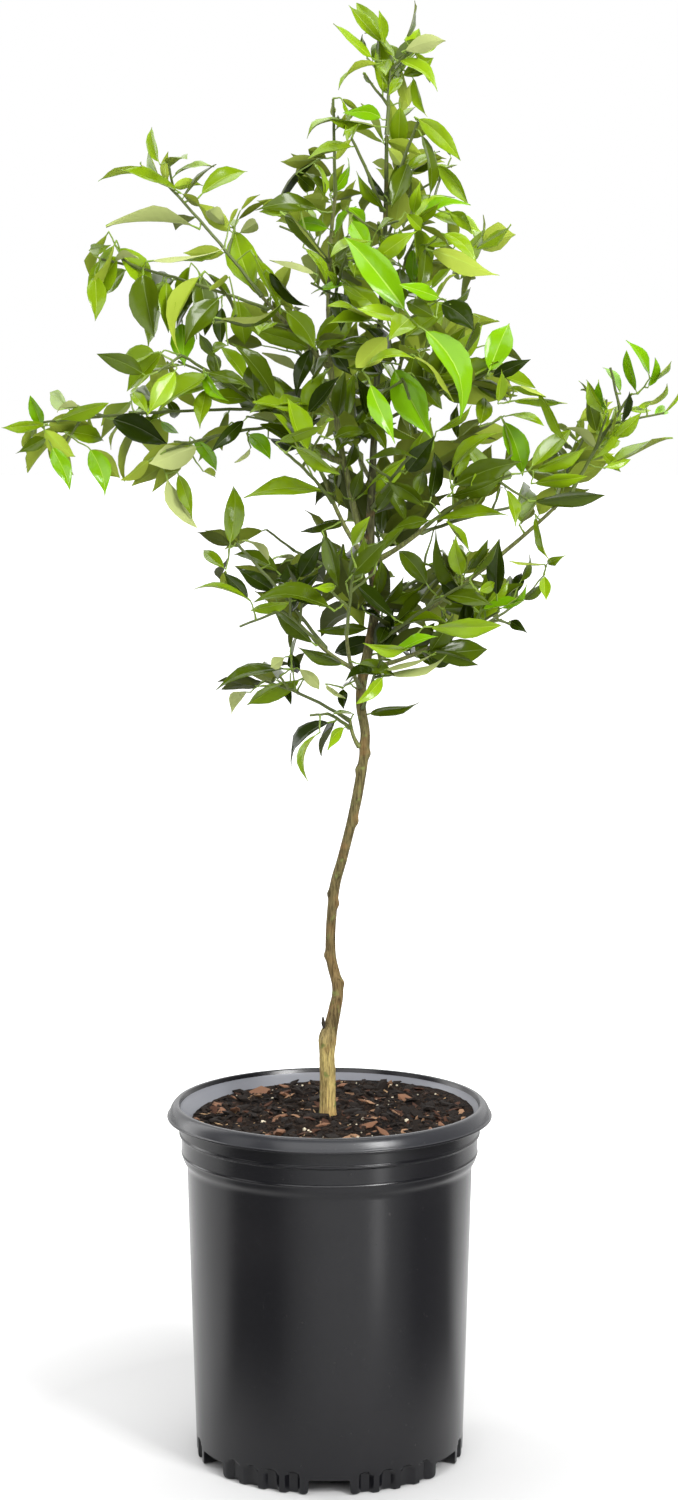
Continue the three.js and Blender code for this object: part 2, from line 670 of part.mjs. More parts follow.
function wallRadius(height) {
  return between(POT.wallFoot, POT.wallTop, height / POT.shoulderFoot);
}

function potProfile() {
  const { height, wall } = POT;
  const corner = [0, 75].map((degrees) => {
    const turn = THREE.MathUtils.degToRad(degrees);
    const reach = wallRadius(POT.footRound) - POT.footRound;
    return [reach + POT.footRound * Math.sin(turn), POT.footRound * (1 - Math.cos(turn))];
  });
  const outside = [
    [0, POT.floorUnder],
    [POT.footRingInner, POT.floorUnder],
    [POT.footRingInner, 0],
    ...corner,
    [POT.wallTop, POT.shoulderFoot],
    [POT.wallTop + 2.6, POT.shoulderFoot + 1.6],
    [POT.lowerBand, POT.lowerBandFoot + 2],
    [POT.lowerBand + 0.2, POT.upperBandFoot - 1.6],
    [POT.upperBand, POT.upperBandFoot],
    [POT.upperBand + 0.3, height - POT.lipHeight - 3],
    [POT.underLip, height - POT.lipHeight],
    [POT.lipRadius, height - POT.lipHeight],
    [POT.lipWaist, height - POT.lipHeight + 3],
    [POT.lipRadius - 0.4, height - 3],
    [POT.ringOuter, height],
  ];
  const inside = [
    [POT.ringInner, height],
    [POT.ringInner - 2.2, POT.innerLedgeTop],
    [innerRadius(POT.innerLedgeFoot), POT.innerLedgeFoot],
    [innerRadius(POT.floorTop + 14), POT.floorTop + 14],
    [innerRadius(POT.floorTop), POT.floorTop],
    [0, POT.floorTop],
  ];
  return [...outside, ...inside].map(([radius, level]) => new THREE.Vector2(radius, level));
}

// The inside of the pot's wall, thicker in the corner over the flutes
function innerRadius(height) {
  const corner = POT.floorTop + 14;
  const thicker = height < corner ? (FLUTE.depth + 2) * ((corner - height) / (corner - POT.floorTop)) : 0;
  const wallAt = Math.min(height, POT.shoulderFoot);
  return wallRadius(wallAt) - POT.wall - thicker;
}

// A tool that stands at the ground, centred on -Y at a turn round the pot
function turnedCutter(geometry, degrees) {
  return toSolid(geometry.rotateZ(THREE.MathUtils.degToRad(degrees)));
}

function boxFromTo(width, nearRadius, farRadius, bottom, top) {
  const box = new THREE.BoxGeometry(width, farRadius - nearRadius, top - bottom);
  return box.translate(0, -(nearRadius + farRadius) / 2, (top + bottom) / 2);
}

// An arch-topped groove: a half round over a straight foot, pushed in from outside
function fluteCutter() {
  const half = FLUTE.width / 2;
  const arch = new THREE.Shape();
  arch.moveTo(-half, -4);
  arch.lineTo(half, -4);
  arch.lineTo(half, FLUTE.height - half);
  arch.absarc(0, FLUTE.height - half, half, 0, Math.PI, false);
  arch.closePath();
  const groove = new THREE.ExtrudeGeometry(arch, { depth: 12, curveSegments: 2, bevelEnabled: false });
  return groove.rotateX(Math.PI / 2).translate(0, -(wallRadius(FLUTE.height / 2) - FLUTE.depth), 0);
}

function potGeometry() {
  const lathe = new THREE.LatheGeometry(potProfile(), POT.sides).rotateX(Math.PI / 2);
  const cutters = [];
  for (let i = 0; i < NOTCH.count; i += 1) {
    const turn = (360 / NOTCH.count) * i;
    const inner = POT.footRingInner - 3;
    cutters.push(turnedCutter(boxFromTo(NOTCH.width, inner, POT.lipRadius, -4, NOTCH.height), turn));
    const drain = boxFromTo(NOTCH.drainWidth, NOTCH.drainInner, innerRadius(POT.floorTop) - 1, 8, 18);
    cutters.push(turnedCutter(drain, turn));
    for (let k = 0; k < FLUTE.perGroup; k += 1) {
      const offset = (k - (FLUTE.perGroup - 1) / 2) * FLUTE.step;
      cutters.push(turnedCutter(fluteCutter(), turn + 180 / NOTCH.count + offset));
    }
  }
  return toGeometry(toSolid(lathe).subtract(wasm.Manifold.union(cutters)).simplify(0.01));
}

// Potting mix: a plug that fills the pot, its top uneven but flat round the trunk
function soilGeometry() {
  const profile = [new THREE.Vector2(0, POT.floorTop + SEAT_GAP)];
  for (const height of [POT.floorTop + SEAT_GAP, POT.floorTop + 14, POT.innerLedgeFoot]) {
    profile.push(new THREE.Vector2(innerRadius(height) - SEAT_GAP - 0.2, height));
  }
  const edge = innerRadius(POT.innerLedgeFoot) - SEAT_GAP;
  for (let ring = 0; ring < SOIL.rings; ring += 1) {
    profile.push(new THREE.Vector2(between(edge, SOIL.collar, ring / (SOIL.rings - 1)), SOIL.top));
  }
  profile.push(new THREE.Vector2(0, SOIL.top));
  const plug = new THREE.LatheGeometry(profile, POT.sides).rotateX(Math.PI / 2);
  const position = plug.getAttribute('position');
  for (let i = 0; i < position.count; i += 1) {
    const [x, y, z] = [position.getX(i), position.getY(i), position.getZ(i)];
    const radius = Math.hypot(x, y);
    if (z > SOIL.top - 1 && radius > SOIL.collar + 1) {
      const lumps = Math.sin(x * 0.09 + 1) * Math.cos(y * 0.11) + 0.5 * Math.sin(x * 0.21 - y * 0.17);
      position.setZ(i, z + SOIL.relief * lumps - SOIL.edgeDrop * (radius / edge) ** 4);
    }
  }
  return plug;
}

// The whole plant
const trunk = growTrunk();
const limbs = new Map([['trunk', trunk]]);
for (const bough of BOUGHS) limbs.set(bough.name, growLimb(bough, limbs, BOUGH_SIDES));
const limbPaths = [...limbs.values()].flatMap((limb) => limb.path);
const masses = MASSES.map((entry) => placeMass(entry, limbs));

const plant = new THREE.Group();
plant.name = 'potted_nules_clementine_tree';
plant.add(namedMesh('pot', potGeometry(), COLOUR.pot, 0.45));
plant.add(namedMesh('potting_mix', soilGeometry(), COLOUR.soil, 0.95));
plant.add(namedMesh('trunk', trunkGeometry(trunk), COLOUR.trunk, 0.8));
for (const limb of limbs.values()) {
  if (limb === trunk) continue;
  const geometry = limbGeometry(limb.curve, limb.radiusAt, limb.sides, limb.rings, limb.heel);
  plant.add(namedMesh(limb.name, geometry, COLOUR.bough, 0.7));
}
for (const mass of masses) {
  plant.add(namedMesh(mass.name, foliageGeometry(mass, masses, limbPaths), COLOUR.leaf, 0.5));
}

export default plant;
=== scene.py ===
"""Potted nules clementine tree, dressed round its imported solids.

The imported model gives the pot, the limbs and the space that each mass of foliage keeps to. This script puts
a moulded pot, a chipped bark mix, barked limbs and a leafy crown in their place. The crown grows by the same
seeded rule as the solids and is then carried on to finer twigs, so both reach equally far. Growth is worked
out in millimetres, and meshes are made in metres.
"""

import itertools
import json
import logging
import math
from collections.abc import Callable, Iterable, Sequence
from dataclasses import dataclass, field
from enum import Enum

import bpy
import numpy as np
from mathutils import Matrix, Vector, noise

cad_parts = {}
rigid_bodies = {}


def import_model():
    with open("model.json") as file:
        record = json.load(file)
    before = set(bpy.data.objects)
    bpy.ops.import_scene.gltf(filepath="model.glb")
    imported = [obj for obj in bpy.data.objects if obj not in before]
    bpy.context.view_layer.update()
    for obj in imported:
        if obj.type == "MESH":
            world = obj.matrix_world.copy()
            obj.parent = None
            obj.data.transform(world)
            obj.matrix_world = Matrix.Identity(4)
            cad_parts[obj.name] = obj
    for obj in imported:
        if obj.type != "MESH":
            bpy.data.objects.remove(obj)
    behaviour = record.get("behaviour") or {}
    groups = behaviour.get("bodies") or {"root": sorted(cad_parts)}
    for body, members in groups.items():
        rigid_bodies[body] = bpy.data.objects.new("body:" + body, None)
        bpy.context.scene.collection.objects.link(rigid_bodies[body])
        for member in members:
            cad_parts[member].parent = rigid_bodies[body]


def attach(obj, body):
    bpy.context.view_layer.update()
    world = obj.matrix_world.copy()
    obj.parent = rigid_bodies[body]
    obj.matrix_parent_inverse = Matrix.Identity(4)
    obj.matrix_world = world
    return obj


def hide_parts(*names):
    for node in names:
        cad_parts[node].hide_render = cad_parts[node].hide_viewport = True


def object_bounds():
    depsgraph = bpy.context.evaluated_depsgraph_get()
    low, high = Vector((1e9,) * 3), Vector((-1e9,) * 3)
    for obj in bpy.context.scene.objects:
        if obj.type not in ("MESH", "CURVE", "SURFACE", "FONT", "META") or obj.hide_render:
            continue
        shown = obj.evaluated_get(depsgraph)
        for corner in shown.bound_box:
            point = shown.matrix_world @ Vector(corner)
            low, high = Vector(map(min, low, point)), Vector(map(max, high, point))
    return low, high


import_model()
CAD_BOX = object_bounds()

LOG = logging.getLogger("clementine")
BODY = "root"
METRE = 0.001  # of a millimetre
UP = np.array([0.0, 0.0, 1.0])
GOLDEN_TURN = 2.39996
TIP = "tip"
LEAF_MAP = "leaf"

Array = np.ndarray
Pair = tuple[float, float]
Triple = tuple[float, float, float]
Colour = Triple
Faces = list[tuple[int, ...]]
Material, Piece, Socket = bpy.types.Material, bpy.types.Object, bpy.types.NodeSocket


# Numbers


class SeededNumbers:
    """A stream of numbers between 0 and 1, the same each time for one seed."""

    MULTIPLIER, MODULUS = 16807, 2147483647
    SEED_STEP, SEED_START = 7919, 101

    def __init__(self, seed: int) -> None:
        """Starts the stream of a seed."""
        self.state = seed * self.SEED_STEP + self.SEED_START

    def draw(self) -> float:
        """The next number."""
        self.state = self.state * self.MULTIPLIER % self.MODULUS
        return self.state / self.MODULUS

    def between(self, low: float, high: float) -> float:
        """The next number, spread from low to high."""
        return low + (high - low) * self.draw()


def between(low: float, high: float, share: float) -> float:
    """The value at a share of the way from low to high."""
    return low + (high - low) * share


def bell(offset: float | Array, reach: float) -> float | Array:
    """A smooth hump that is 1 in its middle and fades out past its reach."""
    return np.exp(-((offset / reach) ** 2))


def unit(vector: Array) -> Array:
    """The vector at a length of one."""
    return vector / np.sqrt(vector @ vector)


def cross(a: Array, b: Array) -> Array:
    """The cross product of two vectors."""
    return np.array([a[1] * b[2] - a[2] * b[1], a[2] * b[0] - a[0] * b[2], a[0] * b[1] - a[1] * b[0]])


def sideways(tangent: Array) -> Array:
    """A level direction across a tangent, or along X where the tangent is upright."""
    side = cross(tangent, UP)
    return np.array([1.0, 0.0, 0.0]) if side @ side < 1e-6 else unit(side)


def outward_from(tangent: Array, turn: float) -> Array:
    """The direction away from a shoot at a turn round it."""
    side = sideways(tangent)
    return side * math.cos(turn) + cross(side, tangent) * math.sin(turn)


def turns_round(sides: int) -> Array:
    """The turns of the sides of a ring, from X on."""
    return np.arange(sides) * 2 * math.pi / sides


# Curves


class Curve:
    """A path in space, read by a share from 0 to 1."""

    STEP = 1e-4
    DIVISIONS = 200
    HALVINGS = 30

    def point(self, share: float) -> Array:
        """The place at a share of the curve."""
        raise NotImplementedError

    def tangent(self, share: float) -> Array:
        """The direction at a share of the curve."""
        return unit(self.point(min(share + self.STEP, 1.0)) - self.point(max(share - self.STEP, 0.0)))

    def points(self, count: int) -> Array:
        """Places at even shares, one more than count."""
        return np.array([self.point(i / count) for i in range(count + 1)])

    def length(self) -> float:
        """The length along the curve."""
        return float(np.linalg.norm(np.diff(self.points(self.DIVISIONS), axis=0), axis=1).sum())

    def share_at(self, height: float) -> float:
        """The share at which a rising curve passes a height."""
        low, high = 0.0, 1.0
        for _ in range(self.HALVINGS):
            middle = (low + high) / 2
            if self.point(middle)[2] < height:
                low = middle
            else:
                high = middle
        return low


@dataclass
class BowedCurve(Curve):
    """A curve from foot to tip whose middle is bowed off the straight line."""

    foot: Array
    tip: Array
    bow: Array

    def point(self, share: float) -> Array:
        """The place at a share of the curve."""
        control = (self.foot + self.tip) * 0.5 + self.bow * 2
        rest = 1 - share
        return self.foot * (rest * rest) + control * (2 * rest * share) + self.tip * (share * share)


@dataclass
class StraightCurve(Curve):
    """A straight line from foot to tip."""

    foot: Array
    tip: Array

    def point(self, share: float) -> Array:
        """The place at a share of the line."""
        return self.foot + (self.tip - self.foot) * share

    def tangent(self, share: float) -> Array:
        """The direction of the line."""
        return unit(self.tip - self.foot)


@dataclass
class FlowingCurve(Curve):
    """A smooth curve through a row of places, which it leaves in line with its neighbours."""

    places: Array

    def point(self, share: float) -> Array:
        """The place at a share of the curve."""
        last = len(self.places) - 1
        at = last * share
        index = min(int(at), last - 1)
        weight = at - index
        start, end = self.places[index], self.places[index + 1]
        before = self.places[index - 1] if index > 0 else start * 2 - end
        after = self.places[index + 2] if index + 2 <= last else end * 2 - start
        leave, arrive = (end - before) * 0.5, (after - start) * 0.5
        square = (end - start) * 3 - leave * 2 - arrive
        cube = (start - end) * 2 + leave + arrive
        return start + leave * weight + square * weight**2 + cube * weight**3


class Path:
    """The straight stretches of a curve, whose distance from points can be asked."""

    def __init__(self, points: Array, radius_at: Callable[[float], float] = lambda share: 0.0) -> None:
        """Cuts the stretches.

        Args:
            points: The ends of the stretches, in order.
            radius_at: The limb's radius at a share of its length.
        """
        count = len(points) - 1
        self.starts = points[:-1]
        self.alongs = np.diff(points, axis=0)
        self.squares = (self.alongs**2).sum(1)
        self.radii = np.array([radius_at((i + 0.5) / count) for i in range(count)])

    @classmethod
    def joined(cls, paths: Sequence["Path"]) -> "Path":
        """One path that holds the stretches of several, in order."""
        whole = cls(np.zeros((2, 3)))
        for part in list(vars(whole)):
            setattr(whole, part, np.concatenate([getattr(path, part) for path in paths]))
        return whole

    def distances(self, points: Array) -> Array:
        """How far each point (a row) is from each stretch (a column)."""
        offset = points[:, None] - self.starts[None]
        share = np.clip((offset * self.alongs).sum(2) / self.squares, 0, 1)
        return np.sqrt(((offset - share[..., None] * self.alongs) ** 2).sum(2))


# The plant's plan, as the solids have it


@dataclass(frozen=True)
class GrowthRule:
    """Clearances and counts that the growth of twigs and leaves keeps to, in millimetres."""

    seat_gap: float = 0.35
    space_margin: float = 2.0
    limb_clearance: float = 4.6
    twig_clearance: float = 3.0
    leaf_clearance: float = 5.0
    stem_radii: Pair = (1.55, 1.1)
    twig_radii: Pair = (1.15, 0.95)
    twig_bare: float = 8.0
    tries: int = 10
    sample_rows: int = 10
    foot_samples: int = 15
    middle_sample: int = 27
    ring_step: float = 30.0
    # Leaves: their lean from the shoot, the share of it that a last leaf has, and the spreads of the rest
    lean: Pair = (0.6, 1.2)
    tip_lean: float = 0.35
    leaf_turn: Pair = (-0.5, 0.5)
    leaf_retry: float = 0.9  # how far the next roll is turned on
    droop: Pair = (0.5, 1.1)
    outlook: Triple = (300, 0.8, 0.6)
    twist: Pair = (-0.6, 0.6)
    length_spread: Pair = (0.82, 1.14)
    width_spread: Pair = (0.88, 1.14)
    shrink: float = 0.06  # for each roll
    arch: Pair = (0.03, 0.17)
    # Twigs: the same, and where on their stem they start
    twig_places: Pair = (0.3, 0.92)
    twig_turn: Pair = (-0.4, 0.4)
    twig_retry: float = 1.1
    twig_spread: Pair = (0.8, 1.2)
    twig_lengths: Pair = (0.75, 1.15)
    twig_taper: float = 0.35  # how much shorter they are at the tip of the stem
    twig_shrink: float = 0.08
    twig_sag: float = 0.25


@dataclass(frozen=True)
class Bough:
    """A limb: what carries it and at what height, its tip, its bow and its radii."""

    name: str
    on: str
    at: float | str
    tip: Triple
    bow: Triple
    radii: Pair


@dataclass(frozen=True)
class Mass:
    """A mass of foliage: one stem, its side twigs, and the leaves along them."""

    name: str
    on: str
    at: float | str
    tip: Triple
    seed: int
    twigs: int = 2
    twig: float = 50
    spread: float = 0.85
    leaf: float = 78
    slim: float = 0.41
    gap: float = 14
    bare: float = 14
    hang: float = 0.15
    bow: Triple = (0, 0, 3)


@dataclass(frozen=True)
class FinerGrowth:
    """How the crown is carried on past the solids, in millimetres."""

    tries: int = 6
    twig: Pair = (16, 34)
    twig_gap: float = 40.0
    twig_radii: Pair = (0.85, 0.55)
    twig_bare: float = 6.0
    leaf_gap: float = 15.0
    limb_clearance: float = 2.5
    twig_clearance: float = 2.0
    leaf_clearance: float = 3.4
    space_margin: float = -7.0  # how far a finer leaf may lean over to a neighbour
    twig_margin: float = -4.0
    spur_margin: float = -26.0
    spur_gap: float = 24.0
    spur: Pair = (7, 20)
    spur_bare: float = 3.0
    spurs_from: float = 640.0  # height
    look_round: float = 60.0
    overhang: float = 5.0
    # For the leaves of the photo at large, and for the foremost ones:
    forward: Pair = (0.0, 8.0)  # how far before their carriers they hang
    front_first: Pair = (0.05, 0.16)  # pixels a carrier may be off for each millimetre nearer
    cover_share: float = 0.10  # of a leaf's samples, before a leaf of the photo
    cover_reach: int = 4  # pixels round each sample of a leaf of the photo
    sky_share: float = 0.08  # of a leaf's samples, in the open sky
    seen_seed: int = 61
    spur_seed: int = 900
    seed_step: int = 31
    any_turn: Pair = (0, 6)
    # Leaves of the photo: their true length by the length shown, the share that lean to the camera, and
    # how much broader and how slim they are
    foreshortened: Pair = (1.02, 1.15)
    usual_length: float = 58.0
    usual_share: float = 0.3
    lean_near: float = 0.7
    broader: float = 1.08
    slimmest: float = 0.31
    broad: float = 24.0
    seen_arch: float = 0.02
    seen_bow: Pair = (0.0, 0.07)
    sag: float = 0.05
    # Fine twigs and spurs
    twig_places: Pair = (0.3, 0.95)
    twig_lean: Pair = (0.6, 1.0)
    twig_lift: Pair = (-0.1, 0.25)
    twig_bend: float = 0.8
    twig_leaf: float = 0.7  # the size of their leaves, as a share of the mass's
    shoot_leaf: float = 0.86
    shoot_gap: float = 1.15
    spur_lean: Pair = (0.1, 0.7)
    spur_leaf: Pair = (0.6, 0.95)


@dataclass(frozen=True)
class PhotoView:
    """Where the photo was taken from, so that a place can be given by its pixels, across and down."""

    width: int = 678
    height: int = 1500
    focal: float = 3043.4  # in pixels
    place: Triple = (7.95, -2504.5, 894.2)
    pitch_down: float = 6.72  # degrees

    def axes(self) -> tuple[Array, Array, Array]:
        """The camera's right, upward and forward directions."""
        pitch = math.radians(self.pitch_down)
        forward = np.array([0, math.cos(pitch), -math.sin(pitch)])
        return np.array([1.0, 0, 0]), np.array([0, math.sin(pitch), math.cos(pitch)]), forward

    def pixels(self, points: Array) -> Array:
        """Where the photo shows each point, across and down."""
        right, up, forward = self.axes()
        away = points - np.array(self.place)
        scale = self.focal / (away @ forward)
        return np.stack([self.width / 2 + away @ right * scale, self.height / 2 - away @ up * scale], 1)

    def point(self, across: float, down: float, depth: float) -> Array:
        """The place at a depth, which is its Y, that the photo shows at a pixel."""
        right, up, forward = self.axes()
        ray = right * (across - self.width / 2) + up * (self.height / 2 - down) + forward * self.focal
        return np.array(self.place) + ray * ((depth - self.place[1]) / ray[1])


@dataclass(frozen=True)
class SeenLeaf:
    """A leaf that the photo shows by itself, in the photo's pixels."""

    foot: Pair
    tip: Pair
    breadth: float
    bow: float  # how far it bends to the left of the way from foot to tip
    # A look's tone holds the leaf's own colour together with painted light and shade: lighter where it is
    # lit, darker where it lies in shade.
    look: str  # its tone, and p where it shows its pale underside

    @classmethod
    def read(cls, text: str) -> list["SeenLeaf"]:
        """Reads leaves that are parted by commas, each as foot, tip, breadth, bow and look."""
        leaves = []
        for row in text.split(","):
            *numbers, look = row.split()
            foot_u, foot_v, tip_u, tip_v, breadth, bow = map(float, numbers)
            leaves.append(cls((foot_u, foot_v), (tip_u, tip_v), breadth, bow, look))
        return leaves


VIEW = PhotoView()
# Openings in the crown where the photo shows sky: middle across and down, half width and half height
SKY_GAPS = """
300 60 38 55, 262 110 52 58, 490 85 45 58, 512 178 42 42, 545 275 36 58, 562 350 30 30, 185 128 20 26,
212 140 30 20, 108 130 34 30, 108 200 60 20, 58 220 38 62, 60 310 23 60, 112 330 21 24, 178 240 40 9,
278 242 15 17, 266 178 13 15, 305 298 8 8, 365 148 13 12, 490 300 22 13, 545 365 20 12, 568 395 17 20,
520 545 13 20, 600 562 48 50, 635 505 42 30, 480 526 24 8, 470 700 62 24, 562 650 46 42, 440 690 40 12,
520 658 34 16, 430 742 62 26, 255 738 30 22, 224 642 44 26, 196 620 36 30, 210 500 9 16, 275 516 36 13,
270 472 44 12, 228 470 20 20, 278 540 17 10, 172 570 30 40, 130 522 45 32, 45 502 50 18, 60 350 30 34,
85 385 34 9, 25 378 30 14, 270 721 17 7, 660 300 60 34, 600 330 24 22, 400 770 60 22, 190 690 24 24,
440 15 26 22, 450 106 18 10, 490 212 16 11, 502 268 20 18, 527 332 18 18, 543 425 14 13, 630 368 46 32,
20 405 12 14, 8 468 16 26, 80 480 8 14, 112 396 20 7, 158 112 12 12, 125 152 18 8, 238 190 14 13,
165 208 30 7, 315 310 10 14, 275 634 15 12, 240 655 24 9, 302 702 32 9, 262 752 18 22, 330 762 18 12,
575 515 24 12, 300 245 8 8, 270 352 14 5, 394 24 9 20, 465 130 14 20, 316 113 14 8, 320 140 12 8,
350 88 12 6, 430 70 7 6, 426 182 8 12, 440 187 6 6, 372 214 6 10, 132 342 16 10, 186 415 9 13, 214 418 12 10,
115 450 7 12, 320 246 5 15, 322 318 7 14, 262 335 14 4, 278 375 9 8, 444 430 8 20, 432 410 8 6, 340 536 14 9,
325 507 11 9, 424 542 20 13, 445 535 8 10, 283 548 18 9, 553 535 14 28, 515 615 11 9, 546 603 10 10,
214 606 24 9, 308 674 9 12, 283 178 8 10, 505 510 10 12, 480 352 5 14, 455 205 5 8, 338 685 8 7, 300 715 12 6,
282 735 9 16, 498 560 7 16, 402 563 5 14, 250 580 8 7, 330 562 7 7, 372 538 6 8, 390 520 6 6, 470 545 12 4,
470 577 10 4, 560 600 20 20, 487 290 12 8, 310 615 9 8, 425 470 6 5, 395 440 5 5
"""
